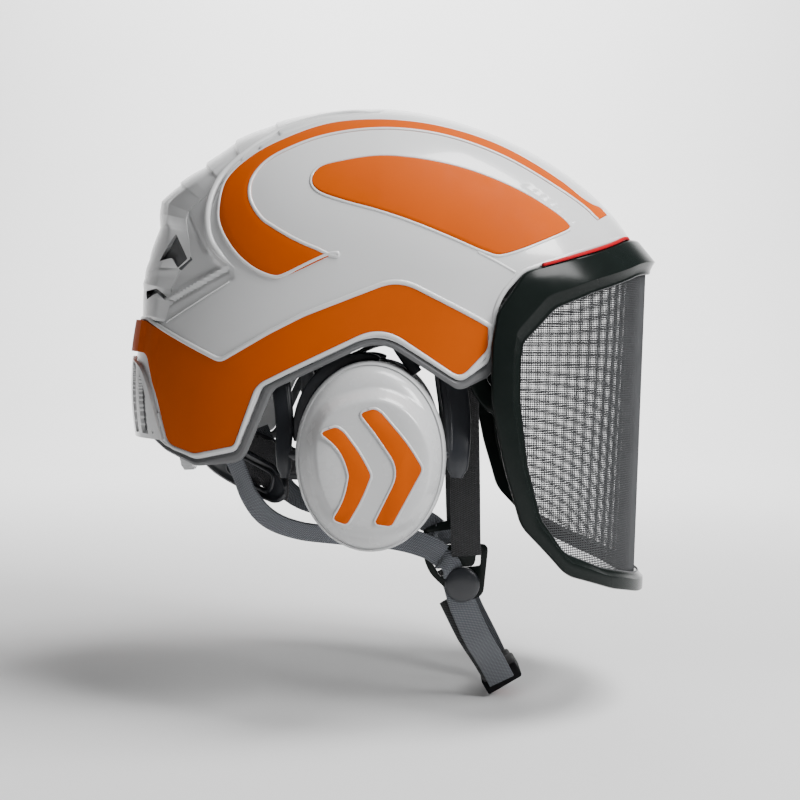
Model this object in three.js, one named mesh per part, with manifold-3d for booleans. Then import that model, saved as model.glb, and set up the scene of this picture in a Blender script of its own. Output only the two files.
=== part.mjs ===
// Integral forestry helmet: shell with rear vents, mesh visor, two ear muffs, size adjuster and chin harness.
// Millimetres. +X points to the face, +Y to the wearer's left, +Z up.
// The origin is the flat underside of the crown pad, where the helmet rests on the head.
import * as THREE from 'three';
import { mergeVertices } from 'three/addons/utils/BufferGeometryUtils.js';
import Module from 'manifold-3d';

const wasm = await Module();
wasm.setup();

// ---------------------------------------------------------------- driving dimensions
const GAP = 0.3;
const RIGHT = -1;
const LEFT = 1;

const SHELL = {
  middleX: 5, equatorZ: -60, frontReach: 150, rearReach: 131.5, rise: 97.6, halfWidth: 105,
  frontPower: 1.68, rearPower: 2.15, sidePower: 2.3, wall: 2.5, rearBulge: 9, rearBulgeDepth: 120,
  sideDraft: 6, sideDraftDepth: 90,
};
const LINER = { outer: -5.6, inner: -15 };
const FILM = { under: 0.8, over: 1.4 };
const HEADBAND = { middleX: 8, halfLength: 102, halfWidth: 79, wall: 2, top: -44, bottom: -72 };
const CROWN_PAD = { x: -5, radiusX: 38, radiusY: 30, thick: 5 };
const CRADLE = { middleX: 8, halfLength: 104, halfWidth: 74, wall: 2.5, endAngle: 120 };
const KNOB = { z: -150, radius: 19, thick: 7.5, frontX: -103.2, teeth: 18, toothDepth: 1.4 };
const HOUSING = { radius: 15, frontX: -99.2 };
const HANGER = { angle: 0.62, sweep: 0.14, thick: 2, topZ: -56, bottomZ: -158 };
const VISOR = {
  middleX: 5, topReach: 156.4, halfWidth: 109.8, power: 2.3, wall: 3, topZ: -49, lean: 0.04,
  pivot: { x: 40, z: -60 }, bezelDepth: 10.6,
};
const VISOR_ARM = { width: 11, thick: 3.6, bossRadius: 9, boreRadius: 4.3, innerY: 89.6, outerY: 93.4 };
const VISOR_PIN = { radius: 4, headRadius: 8, innerY: 85, headY: 89.2, outerY: 98.5 };
const MUFF = {
  hingeY: 80, hingeZ: -84, pinY: 90, z: -153.5, x: 1.5, halfLength: 38.5, halfHeight: 48.6, rimY: 84,
  rodRadius: 2.5, boreRadius: 2.9, pinRadius: 2.4, socketRadius: 2.8, legThick: 3, foamY: [88, 103],
};
const CHEVRON = { innerY: 117.4, outerY: 118 };
const CROWN_WEB = { width: 18, thick: 1.2 };
const WEBBING = { front: 16, rear: 13, chin: 15, thick: 1.4 };
const DIVIDER = { x: 46, y: 51, z: -219, depth: 3.2, capRadius: 9.5, capLift: [1.2, 5] };
const BUCKLE = { x: 73, z: -285, tilt: -Math.PI / 6, halfLength: 22, width: 22, thick: 9 };

const COLOURS = {
  white: [0xeceef0, 0.22, 0],
  flange: [0x8f9193, 0.4, 0],
  orange: [0xe8670a, 0.35, 0],
  liner: [0x2b2d30, 0.9, 0],
  black: [0x101213, 0.3, 0],
  darkPlastic: [0x34363b, 0.45, 0],
  foam: [0x232427, 0.95, 0],
  mesh: [0x3a3c3d, 0.5, 0.6],
  red: [0xd7142d, 0.4, 0],
  cup: [0xd9dbdc, 0.3, 0],
  blackWeb: [0x17181a, 0.85, 0],
  greyWeb: [0x646870, 0.85, 0],
  steel: [0x9a9da0, 0.35, 0.9],
};

const helmet = new THREE.Group();

// ---------------------------------------------------------------- building helpers
function addMesh(name, geometry, colour, parent = helmet) {
  const [tint, roughness, metalness] = COLOURS[colour];
  const material = new THREE.MeshStandardMaterial({ color: tint, roughness, metalness });
  const mesh = new THREE.Mesh(geometry, material);
  mesh.name = name;
  parent.add(mesh);
  return mesh;
}

// Merges shared vertices, drops faces without area and turns all faces outwards.
function closed(geometry) {
  const bare = new THREE.BufferGeometry();
  bare.setAttribute('position', geometry.getAttribute('position'));
  if (geometry.index) {
    bare.setIndex(geometry.index);
  }
  const merged = mergeVertices(bare, 1e-3);
  const at = merged.getAttribute('position');
  const faces = [];
  const corner = [new THREE.Vector3(), new THREE.Vector3(), new THREE.Vector3()];
  let volume = 0;
  for (let i = 0; i < merged.index.count; i += 3) {
    const [a, b, c] = [0, 1, 2].map((k) => merged.index.getX(i + k));
    if (a === b || b === c || a === c) {
      continue;
    }
    faces.push([a, b, c]);
    [a, b, c].forEach((v, k) => corner[k].fromBufferAttribute(at, v));
    volume += corner[0].dot(corner[1].clone().cross(corner[2]));
  }
  const turned = volume < 0 ? faces.map(([a, b, c]) => [a, c, b]) : faces;
  merged.setIndex(turned.flat());
  merged.computeVertexNormals();
  return merged;
}

function toManifold(geometry) {
  const shape = closed(geometry);
  return new wasm.Manifold(new wasm.Mesh({
    numProp: 3,
    vertProperties: new Float32Array(shape.getAttribute('position').array),
    triVerts: new Uint32Array(shape.index.array),
  }));
}

function fromManifold(solid) {
  const mesh = solid.getMesh();
  const geometry = new THREE.BufferGeometry();
  geometry.setAttribute('position', new THREE.BufferAttribute(new Float32Array(mesh.vertProperties), 3));
  geometry.setIndex([...mesh.triVerts]);
  return closed(geometry);
}

function cut(geometry, ...tools) {
  return fromManifold(tools.reduce((solid, tool) => solid.subtract(toManifold(tool)), toManifold(geometry)));
}

function join(geometry, ...others) {
  return fromManifold(others.reduce((solid, other) => solid.add(toManifold(other)), toManifold(geometry)));
}

function eachVertex(geometry, place) {
  const at = geometry.getAttribute('position');
  const uv = geometry.getAttribute('uv');
  for (let i = 0; i < at.count; i += 1) {
    const spot = place(at.getX(i), at.getY(i), at.getZ(i), uv.getX(i), uv.getY(i));
    at.setXYZ(i, spot.x, spot.y, spot.z);
  }
  return closed(geometry);
}

// A plate: place(u, v, w) with u and v from 0 to 1 over its face and w 0 or 1 through its thickness.
function plate(uSteps, vSteps, place) {
  const box = new THREE.BoxGeometry(1, 1, 1, uSteps, vSteps, 1);
  return eachVertex(box, (x, y, z) => place(x + 0.5, y + 0.5, z + 0.5));
}

// A closed band: place(u, v, w) with u round the loop and v, w from 0 to 1 across its section.
function hoop(uSteps, place) {
  const section = [[1, 0], [2, 0], [2, 1], [1, 1], [1, 0]].map(([x, y]) => new THREE.Vector2(x, y));
  const ring = new THREE.LatheGeometry(section, uSteps);
  return eachVertex(ring, (x, y, z, u) => place(u, Math.round(Math.hypot(x, z)) - 1, Math.round(y)));
}

function curve(points) {
  return new THREE.CatmullRomCurve3(points.map((p) => new THREE.Vector3(...p)), false, 'centripetal');
}

function outline(points) {
  return curve(points.map(([x, z]) => [x, 0, z]));
}

function mix(a, b, t) {
  return a + (b - a) * t;
}

// A flat strip along a curve. faceNormal(u) says which way its flat face looks.
function strip(points, width, thick, faceNormal, steps = 14) {
  const path = curve(points);
  return plate(steps, 1, (u, v, w) => {
    const normal = faceNormal(u).normalize();
    const across = path.getTangentAt(u).cross(normal).normalize();
    const spot = path.getPointAt(u);
    spot.addScaledVector(across, (v - 0.5) * width);
    return spot.addScaledVector(across.cross(path.getTangentAt(u)).normalize(), -(w - 0.5) * thick);
  });
}

function cylinderAlong(axis, radius, from, to, sides = 20) {
  const rod = new THREE.CylinderGeometry(radius, radius, to - from, sides);
  if (axis === 'x') {
    rod.rotateZ(Math.PI / 2);
    rod.translate((from + to) / 2, 0, 0);
  } else if (axis === 'y') {
    rod.translate(0, (from + to) / 2, 0);
  } else {
    rod.rotateX(Math.PI / 2);
    rod.translate(0, 0, (from + to) / 2);
  }
  return rod;
}

function block(fromX, toX, fromY, toY, fromZ, toZ) {
  const box = new THREE.BoxGeometry(toX - fromX, Math.abs(toY - fromY), toZ - fromZ);
  box.translate((fromX + toX) / 2, (fromY + toY) / 2, (fromZ + toZ) / 2);
  return box;
}

function bothSides(make) {
  make(RIGHT, 'right');
  make(LEFT, 'left');
}

// ---------------------------------------------------------------- shell surface
function reachAt(z, dx) {
  const s = SHELL;
  if (z >= s.equatorZ) {
    const power = dx >= 0 ? s.frontPower : s.rearPower;
    const reach = dx >= 0 ? s.frontReach : s.rearReach;
    const rise = Math.min(1, (z - s.equatorZ) / s.rise);
    return reach * (1 - rise ** power) ** (1 / power);
  }
  const depth = Math.min(s.rearBulgeDepth, s.equatorZ - z) / s.rearBulgeDepth;
  return dx >= 0 ? s.frontReach : s.rearReach + s.rearBulge * Math.sin(Math.PI * depth);
}

function rearX(z) {
  return SHELL.middleX - reachAt(z, -1);
}

// How far inside the side outline a point is: 0 in the middle, 1 on the outline.
function sideFraction(x, z) {
  const s = SHELL;
  const dx = x - s.middleX;
  if (z < s.equatorZ) {
    return Math.abs(dx) / reachAt(z, dx);
  }
  const power = dx >= 0 ? s.frontPower : s.rearPower;
  const reach = dx >= 0 ? s.frontReach : s.rearReach;
  return ((Math.abs(dx) / reach) ** power + ((z - s.equatorZ) / s.rise) ** power) ** (1 / power);
}

function widthAt(z) {
  const below = Math.max(0, SHELL.equatorZ - z) / SHELL.sideDraftDepth;
  return SHELL.halfWidth - SHELL.sideDraft * below * below;
}

function shellHalfWidth(x, z) {
  const fraction = Math.min(1, sideFraction(x, z));
  return widthAt(z) * (1 - fraction ** SHELL.sidePower) ** (1 / SHELL.sidePower);
}

function shellNormal(x, y, z) {
  const level = (px, py, pz) => sideFraction(px, pz) ** SHELL.sidePower
    + (Math.abs(py) / widthAt(pz)) ** SHELL.sidePower;
  const step = 0.05;
  return new THREE.Vector3(
    level(x + step, y, z) - level(x - step, y, z),
    level(x, y + step, z) - level(x, y - step, z),
    level(x, y, z + step) - level(x, y, z - step),
  ).normalize();
}

function onShell(side, x, z, out) {
  const y = side * shellHalfWidth(x, z);
  return new THREE.Vector3(x, y, z).addScaledVector(shellNormal(x, y, z), out);
}

// The same, but exactly on the rear middle line when along is 0.
function onShellOrMiddle(side, along, x, z, out) {
  if (along > 1e-6) {
    return onShell(side, x, z, out);
  }
  return new THREE.Vector3(rearX(z) - out, 0, z);
}

// A dome whose lower edge follows the side outline rim, from the rear middle to the front middle.
function dome(rim, columns, rows, outer, inner) {
  const edge = outline(rim);
  const profile = [];
  for (let row = 0; row <= 2 * rows + 1; row += 1) {
    const onAxis = row === 0 || row === 2 * rows + 1;
    profile.push(new THREE.Vector2(onAxis ? 0 : 10, row));
  }
  const top = SHELL.equatorZ + SHELL.rise;
  const lathe = new THREE.LatheGeometry(profile, columns);
  return eachVertex(lathe, (px, py, pz, u) => {
    const row = Math.round(py);
    const outside = row <= rows;
    const down = outside ? row / rows : (2 * rows + 1 - row) / rows;
    const side = u <= 0.5 ? RIGHT : LEFT;
    const along = Math.min(1, Math.abs(1 - 2 * u));
    const end = edge.getPointAt(along);
    const dx = end.x - SHELL.middleX;
    const atMiddle = along < 1e-6 || along > 1 - 1e-6;
    const share = atMiddle ? Math.sign(dx) : Math.max(-1, Math.min(1, dx / reachAt(end.z, dx)));
    const z = mix(end.z, top, Math.cos(down * Math.PI / 2));
    const x = SHELL.middleX + share * reachAt(z, dx);
    const spot = onShell(side, x, z, outside ? outer : inner);
    if (down === 0) {
      return new THREE.Vector3(SHELL.middleX, 0, top + (outside ? outer : inner));
    }
    if (atMiddle) {
      spot.y = 0;
    }
    return spot;
  });
}

// A thin panel on the shell between two side outlines.
function panel(side, upper, lower, uSteps, vSteps, under = FILM.under, over = FILM.over) {
  const high = outline(upper);
  const low = outline(lower);
  return plate(uSteps, vSteps, (u, v, w) => {
    const a = high.getPoint(u);
    const b = low.getPoint(u);
    return onShell(side, mix(a.x, b.x, v), mix(a.z, b.z, v), mix(under, over, w));
  });
}

// ---------------------------------------------------------------- shell, liner and trims
const SHELL_RIM = [
  [rearX(-134), -134], [-122, -141], [-108, -149], [-92, -154.5], [-74, -152], [-67, -143], [-57, -119],
  [-49, -111], [-12, -95], [6, -90], [14, -91], [48, -111.5], [57, -106], [62.5, -99], [65.5, -79], [73, -66],
  [81, -56], [110, -46], [146.5, -37],
];
const FLANGE_RIM = [
  [rearX(-140), -140], [-122, -147], [-96, -160], [-73, -159], [-62, -147], [-52, -124], [-43, -117],
  [-6, -101], [6, -96.5], [15, -98], [46, -118], [56, -115], [65, -107],
];
const LINER_RIM = [[-134, -105], [-100, -95], [-62, -48], [0, -38], [60, -38], [110, -36], [150, -30]];

function ventTool(points) {
  const shape = new THREE.Shape(points.map(([x, z]) => new THREE.Vector2(x, z)));
  const tool = new THREE.ExtrudeGeometry(shape, { depth: 160, bevelEnabled: false });
  tool.rotateX(Math.PI / 2);
  tool.translate(0, 80, 0);
  return tool;
}

// Arrow-shaped vents at the rear, cut through the shell from side to side.
const REAR_VENTS = [
  [[-112, -30], [-104, -44], [-112, -40], [-121, -44]],
  [[-117, -50], [-109, -64], [-117, -60], [-126, -64]],
  [[-101, -8], [-93, -22], [-101, -18], [-111, -24]],
];

function addShell() {
  const shell = dome(SHELL_RIM, 52, 9, 0, -SHELL.wall);
  addMesh('outer_shell', cut(shell, ...REAR_VENTS.map(ventTool)), 'white');
  addMesh('impact_liner', dome(LINER_RIM, 40, 6, LINER.outer, LINER.inner), 'liner');
  const top = outline(SHELL_RIM.slice(0, 14));
  const bottom = outline(FLANGE_RIM);
  const flange = plate(72, 1, (u, v, w) => {
    const side = u <= 0.5 ? RIGHT : LEFT;
    const along = Math.abs(1 - 2 * u);
    const a = top.getPoint(along);
    const b = bottom.getPoint(along);
    const drop = new THREE.Vector2(b.x - a.x, b.z - a.z);
    const start = drop.clone().normalize().multiplyScalar(1.6);
    const z = mix(a.z + start.y, b.z, v);
    return onShellOrMiddle(side, along, mix(a.x + start.x, b.x, v), z, mix(-SHELL.wall, 0, w));
  });
  addMesh('rim_flange', flange, 'flange');
}

const BAND_TOP = [
  [rearX(-84), -84], [-129, -84.5], [-108, -86], [-94, -94], [-80, -103], [-75, -104.5], [-70, -103],
  [-34, -83.5], [-11, -73.5], [6, -67], [16, -64.5], [37, -72.5], [60, -84],
];
const BAND_BOTTOM = [
  [rearX(-100), -100], [-122, -101], [-116, -113], [-107, -145.5], [-92, -151.5], [-78, -149.5], [-70, -141],
  [-60, -118], [-51, -108.5], [-12, -91.5], [8, -87], [48, -107.5], [60, -97],
];
const STRIPE_OUTER = [
  [124, -26], [102, -8], [70, 11], [37, 21], [5, 24], [-21, 22], [-42, 15], [-63, 4], [-76, -10], [-79, -24],
  [-76, -38], [-65, -51], [-50, -62], [-20, -55],
];
const STRIPE_INNER = [
  [118, -29], [101, -15], [69, 3], [37, 14], [6, 18], [-21, 15], [-39, 9], [-55, 0], [-62, -11], [-61, -21],
  [-54, -31], [-39, -41], [-26, -47], [-18, -51],
];
const LENS_UPPER = [[-28, -13], [-25, -6], [-12, -2], [6, 0], [27, -2], [52, -8], [79, -19], [104, -35]];
const LENS_LOWER = [
  [-27, -15], [-22, -20], [-4, -26], [16, -32], [37, -40], [57, -49], [66, -51], [102, -37],
];
// Half angle round the rear and height, down the edge of the rear grille.
const GRILLE_EDGE = [[7, -103], [22, -108], [27.5, -116], [31, -128], [34.5, -147]];

function addPanels() {
  const high = outline(BAND_TOP);
  const low = outline(BAND_BOTTOM);
  const band = plate(76, 2, (u, v, w) => {
    const side = u <= 0.5 ? RIGHT : LEFT;
    const along = Math.abs(1 - 2 * u);
    const a = high.getPoint(along);
    const b = low.getPoint(along);
    return onShellOrMiddle(side, along, mix(a.x, b.x, v), mix(a.z, b.z, v), mix(FILM.under, FILM.over, w));
  });
  addMesh('wrap_band', band, 'orange');
  bothSides((side, word) => {
    addMesh(`upper_stripe_${word}`, panel(side, STRIPE_OUTER, STRIPE_INNER, 36, 1), 'orange');
    addMesh(`crown_panel_${word}`, panel(side, LENS_UPPER, LENS_LOWER, 16, 3), 'orange');
  });
  const edge = outline(GRILLE_EDGE);
  const grille = plate(12, 4, (u, v, w) => {
    const end = edge.getPoint(v);
    const angle = THREE.MathUtils.degToRad(mix(-end.x, end.x, u));
    const x = SHELL.middleX - reachAt(end.z, -1) * Math.cos(angle);
    return onShellOrMiddle(angle < 0 ? RIGHT : LEFT, Math.abs(angle), x, end.z, mix(FILM.under, 2.6, w));
  });
  addMesh('rear_grille', grille, 'white');
}

// ---------------------------------------------------------------- head harness
function onEllipse(ring, angle, out, z) {
  const a = ring.halfLength + out;
  const b = ring.halfWidth + out;
  return new THREE.Vector3(ring.middleX + a * Math.cos(angle), b * Math.sin(angle), z);
}

function addHeadHarness() {
  const h = HEADBAND;
  addMesh('headband', hoop(48, (u, v, w) => (
    onEllipse(h, u * 2 * Math.PI, v * h.wall, mix(h.bottom, h.top, w))
  )), 'darkPlastic');
  addMesh('brow_pad', plate(20, 1, (u, v, w) => (
    onEllipse(h, mix(-1.2, 1.2, u), -GAP - w * 5, mix(h.bottom - 3, h.top + 2, v))
  )), 'foam');
  const pad = cylinderAlong('z', 1, 0, CROWN_PAD.thick, 28);
  pad.scale(CROWN_PAD.radiusX, CROWN_PAD.radiusY, 1);
  pad.translate(CROWN_PAD.x, 0, 0);
  addMesh('crown_pad', pad, 'foam');
  const up = () => new THREE.Vector3(0, 0, 1);
  const lengthwise = [
    [104, 0, -40], [90, 0, -14], [45, 0, 5.5], [-5, 0, 7.2], [-52, 0, 5.5], [-86, 0, -16], [-93, 0, -40],
  ];
  const out = (u) => new THREE.Vector3(mix(1, -1, u), 0, 0.8);
  addMesh('crown_strap_long', strip(lengthwise, CROWN_WEB.width, CROWN_WEB.thick, out, 18), 'blackWeb');
  const lift = 2;
  const crosswise = [
    [-5, -76, -40], [-5, -62, -10], [-5, -30, 7], [-5, 0, 7.2 + lift], [-5, 30, 7], [-5, 62, -10], [-5, 76, -40],
  ];
  addMesh('crown_strap_cross', strip(crosswise, CROWN_WEB.width, CROWN_WEB.thick, up, 18), 'blackWeb');
  const spots = [['front_right', -50], ['front_left', 50], ['rear_right', -130], ['rear_left', 130]];
  spots.forEach(([word, degrees]) => {
    const angle = THREE.MathUtils.degToRad(degrees);
    const clip = block(0, 10, -7, 7, -8, 8);
    clip.rotateZ(Math.atan2(Math.sin(angle) * h.halfLength, Math.cos(angle) * h.halfWidth));
    const foot = onEllipse(h, angle, h.wall + 1.5, -52);
    clip.translate(foot.x, foot.y, foot.z);
    addMesh(`headband_clip_${word}`, clip, 'darkPlastic');
  });
}

// Height of the cradle's middle line: it drops from the rear middle (0) to its ends (-1 and 1).
function cradleMiddle(t) {
  return -148 - 26 * Math.abs(t) ** 1.5;
}

function addSizeAdjuster() {
  const c = CRADLE;
  const reach = THREE.MathUtils.degToRad(180 - c.endAngle);
  const tall = (t) => mix(30, 20, Math.abs(t));
  const place = (out, trim) => (u, v, w) => {
    const t = mix(-1, 1, u);
    const spot = onEllipse(c, Math.PI - t * reach, out(w), cradleMiddle(t));
    spot.z += (v - 0.5) * (tall(t) - trim);
    return spot;
  };
  addMesh('nape_cradle', plate(24, 1, place((w) => w * c.wall, 0)), 'darkPlastic');
  addMesh('nape_pad', plate(20, 1, place((w) => -GAP - w * 5, 4)), 'foam');
  const housing = cylinderAlong('x', HOUSING.radius, KNOB.frontX + GAP, HOUSING.frontX, 24);
  housing.translate(0, 0, KNOB.z);
  addMesh('ratchet_housing', housing, 'darkPlastic');
  const shape = new THREE.Shape();
  for (let i = 0; i < 2 * KNOB.teeth; i += 1) {
    const angle = i * Math.PI / KNOB.teeth;
    const radius = i % 2 === 0 ? KNOB.radius : KNOB.radius - KNOB.toothDepth;
    shape[i === 0 ? 'moveTo' : 'lineTo'](radius * Math.cos(angle), radius * Math.sin(angle));
  }
  const knob = new THREE.ExtrudeGeometry(shape, { depth: KNOB.thick, bevelEnabled: false });
  knob.rotateY(-Math.PI / 2);
  knob.translate(KNOB.frontX, 0, KNOB.z);
  addMesh('size_knob', knob, 'cup');
  bothSides((side, word) => {
    const h = HANGER;
    const hanger = plate(1, 6, (u, v, w) => {
      const angle = Math.PI - side * h.angle + (u - 0.5) * h.sweep;
      const high = onEllipse(HEADBAND, angle, HEADBAND.wall + GAP + 0.5 + w * h.thick, h.topZ);
      const low = onEllipse(CRADLE, angle, CRADLE.wall + 0.8 + w * h.thick, h.bottomZ);
      return high.lerp(low, v);
    });
    addMesh(`cradle_hanger_${word}`, hanger, 'darkPlastic');
  });
}

// ---------------------------------------------------------------- visor
function visorPoint(side, degrees, z, out) {
  const v = VISOR;
  const angle = THREE.MathUtils.degToRad(degrees);
  const reach = v.topReach - Math.max(0, v.topZ - z) * v.lean + out;
  const power = 2 / v.power;
  return new THREE.Vector3(
    v.middleX + reach * Math.cos(angle) ** power,
    side * (v.halfWidth + out) * Math.sin(angle) ** power,
    z,
  );
}

// Half outlines as angle round the face and height, from the brow middle to the chin middle.
const VISOR_OUTER = [
  [0, -36], [20, -38], [35, -43], [50, -52], [60, -60], [66, -69], [69, -80], [70, -95], [70, -120],
  [69, -140], [67, -160], [65, -178], [62, -193], [57, -207], [50, -218], [40, -227], [25, -233.5], [0, -236],
];
const VISOR_INNER = [
  [0, -55], [20, -57], [35, -62], [48, -70], [56, -78], [61, -88], [63.5, -100], [64.2, -115], [64.2, -130],
  [63.3, -147], [62, -163], [60, -178], [57, -190], [51, -202], [45, -210], [36, -217], [22, -222.5],
  [0, -225],
];

function visorLoop(points, u, out) {
  const side = u <= 0.5 ? RIGHT : LEFT;
  const along = 1 - Math.abs(1 - 2 * u);
  const spot = outline(points).getPoint(along);
  return visorPoint(side, Math.max(0, spot.x), spot.z, out(along, spot));
}

function browSlope(along, spot) {
  const fade = Math.max(0, (75 + spot.z) / 39);
  return -VISOR.bezelDepth * fade * fade;
}

function addVisor() {
  const frame = hoop(64, (u, v, w) => {
    const deep = -w * VISOR.wall;
    const outerEdge = visorLoop(VISOR_OUTER, u, (along, spot) => deep + browSlope(along, spot));
    const innerEdge = visorLoop(VISOR_INNER, u, () => deep);
    return outerEdge.lerp(innerEdge, v);
  });
  addMesh('visor_frame', frame, 'black');
  const outer = outline(VISOR_OUTER);
  const inner = outline(VISOR_INNER);
  const mesh = plate(24, 4, (u, v, w) => {
    const t = mix(-1, 1, u);
    const degrees = Math.abs(t) * 65.5;
    const high = edgeHeight(outer, inner, degrees, 0, 0.5);
    const low = edgeHeight(outer, inner, degrees, 0.5, 1);
    return visorPoint(t < 0 ? RIGHT : LEFT, degrees, mix(high, low, v), -VISOR.wall - 2.1 - w * 0.9);
  });
  addMesh('visor_mesh', mesh, 'mesh');
  const seal = plate(40, 1, (u, v, w) => {
    const t = mix(-1, 1, u);
    const along = Math.abs(t) * 0.26;
    const spot = outer.getPoint(along);
    const out = browSlope(along, new THREE.Vector3(0, 0, spot.z)) + 0.3 - w * 1.6;
    return visorPoint(t < 0 ? RIGHT : LEFT, Math.max(0, spot.x), spot.z + 0.4 + v * 1.3, out);
  });
  addMesh('visor_seal', seal, 'red');
  bothSides((side, word) => {
    const p = VISOR.pivot;
    const a = VISOR_ARM;
    const pinned = VISOR_PIN;
    const path = [
      [p.x, 91.5 * side, p.z], [46, 91 * side, -84], [52, 90.5 * side, -105], [58.5, 91.5 * side, -120],
      [65, 94.6 * side, -127], [70.5, 95.2 * side, -127],
    ];
    const arm = strip(path, a.width, a.thick, () => new THREE.Vector3(0, side, 0), 16);
    const boss = cylinderAlong('y', a.bossRadius, a.innerY, a.outerY, 24);
    const hole = cylinderAlong('y', a.boreRadius, 60, 120, 24);
    [boss, hole].forEach((rod) => {
      rod.scale(1, side, 1);
      rod.translate(p.x, 0, p.z);
    });
    addMesh(`visor_arm_${word}`, cut(join(arm, boss), hole), 'black');
    const shank = cylinderAlong('y', pinned.radius, pinned.innerY, pinned.outerY, 20);
    const head = cylinderAlong('y', pinned.headRadius, pinned.innerY, pinned.headY, 20);
    const pin = join(shank, head);
    pin.scale(1, side, 1);
    pin.translate(p.x, 0, p.z);
    addMesh(`visor_pivot_${word}`, closed(pin), 'steel');
  });
}

// Height of the mesh edge at an angle, half way between the frame's outer and inner outlines.
function edgeHeight(outer, inner, degrees, from, to) {
  const find = (line) => {
    let best = null;
    for (let t = from; t <= to + 1e-6; t += 0.004) {
      const spot = line.getPoint(Math.min(1, t));
      if (best === null || Math.abs(spot.x - degrees) < Math.abs(best.x - degrees)) {
        best = spot;
      }
    }
    return best.z;
  };
  return mix(find(outer), find(inner), 0.9);
}

// ---------------------------------------------------------------- ear muffs
// Chevron inlays on the cup face: middle of the foot, elbow and top, each [x, z].
const CHEVRONS = [
  { place: 'rear', foot: [-13, -183.5], elbow: [-3.5, -161.5], top: [-18.5, -139], width: 7.5 },
  { place: 'front', foot: [8, -185], elbow: [20.8, -157], top: [1.5, -130], width: 8.5 },
];

function addMuff(side, word) {
  const m = MUFF;
  // Turns a profile round the oval cup. Each entry is the inset from the cup's outline, null for the middle,
  // and the distance |y| from the head's middle plane.
  const turned = (profile, sides) => {
    const points = profile.map(([inset], i) => new THREE.Vector2(inset === null ? 0 : 1, i));
    return eachVertex(new THREE.LatheGeometry(points, sides), (px, py, pz, u) => {
      const [inset, y] = profile[Math.round(py)];
      const long = inset === null ? 0 : m.halfLength - inset;
      const tall = inset === null ? 0 : m.halfHeight - inset;
      const angle = u * 2 * Math.PI;
      return new THREE.Vector3(m.x + long * Math.cos(angle), side * y, m.z + tall * Math.sin(angle));
    });
  };
  const cup = turned([
    [null, 117], [11, 116.8], [5, 112.5], [1.6, 105], [0, m.rimY], [2.6, m.rimY], [4.6, 105], [8, 110.5],
    [null, 113.8],
  ], 28);
  const [foamBack, foamFront] = m.foamY;
  const foam = turned([[null, foamFront], [9, foamFront], [9, foamBack], [null, foamBack]], 20);
  addMesh(`cup_foam_${word}`, foam, 'foam');
  addMesh(`ear_cushion_${word}`, turned([
    [1.6, 83.7], [0.8, 76], [5, 70.6], [11, 70.2], [17, 74], [17.5, 83.7], [1.6, 83.7],
  ], 24), 'foam');
  CHEVRONS.forEach(({ place, foot, elbow, top, width }) => {
    const chevron = plate(1, 8, (u, v, w) => {
      const [from, to, t] = v < 0.5 ? [foot, elbow, 2 * v] : [elbow, top, 2 * v - 1];
      const half = (u - 0.5) * width * (1 + 0.35 * (1 - Math.abs(2 * v - 1)));
      const y = mix(CHEVRON.innerY, CHEVRON.outerY, w);
      return new THREE.Vector3(mix(from[0], to[0], t) + half, side * y, mix(from[1], to[1], t));
    });
    addMesh(`cup_chevron_${place}_${word}`, chevron, 'orange');
  });
  const flat = () => new THREE.Vector3(0, side, 0);
  const legs = [[-43.5, -46.5, 9], [46.5, 43.5, 11]].map(([footX, topX, width]) => strip([
    [topX, m.hingeY * side, m.hingeZ + 1], [topX, (m.hingeY + 0.5) * side, -108], [footX, 85 * side, -136],
    [footX, m.pinY * side, -163],
  ], width, m.legThick, flat, 8));
  const rod = cylinderAlong('x', m.rodRadius, -47, 44, 16);
  rod.translate(0, m.hingeY * side, m.hingeZ);
  const atPins = (rods) => rods.map((pin) => pin.translate(0, m.pinY * side, m.z));
  const pins = atPins([[-42, -35], [38, 46]].map(([from, to]) => (
    cylinderAlong('x', m.pinRadius, from, to, 16)
  )));
  addMesh(`muff_yoke_${word}`, join(rod, ...legs, ...pins), 'darkPlastic');
  const sockets = atPins([[-42, -30], [33, 46]].map(([from, to]) => (
    cylinderAlong('x', m.socketRadius, from, to, 16)
  )));
  addMesh(`ear_cup_${word}`, cut(cup, ...sockets), 'cup');
  const lugs = [-28, 24].map((x) => block(x - 4, x + 4, side * 75, side * 99, m.hingeZ - 6, m.hingeZ + 6));
  const base = block(-32, 28, side * 97, side * 99, m.hingeZ - 6, m.hingeZ + 6);
  const bore = cylinderAlong('x', m.boreRadius, -50, 50, 16);
  bore.translate(0, m.hingeY * side, m.hingeZ);
  addMesh(`muff_hinge_${word}`, cut(join(base, ...lugs), bore), 'darkPlastic');
}

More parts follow.
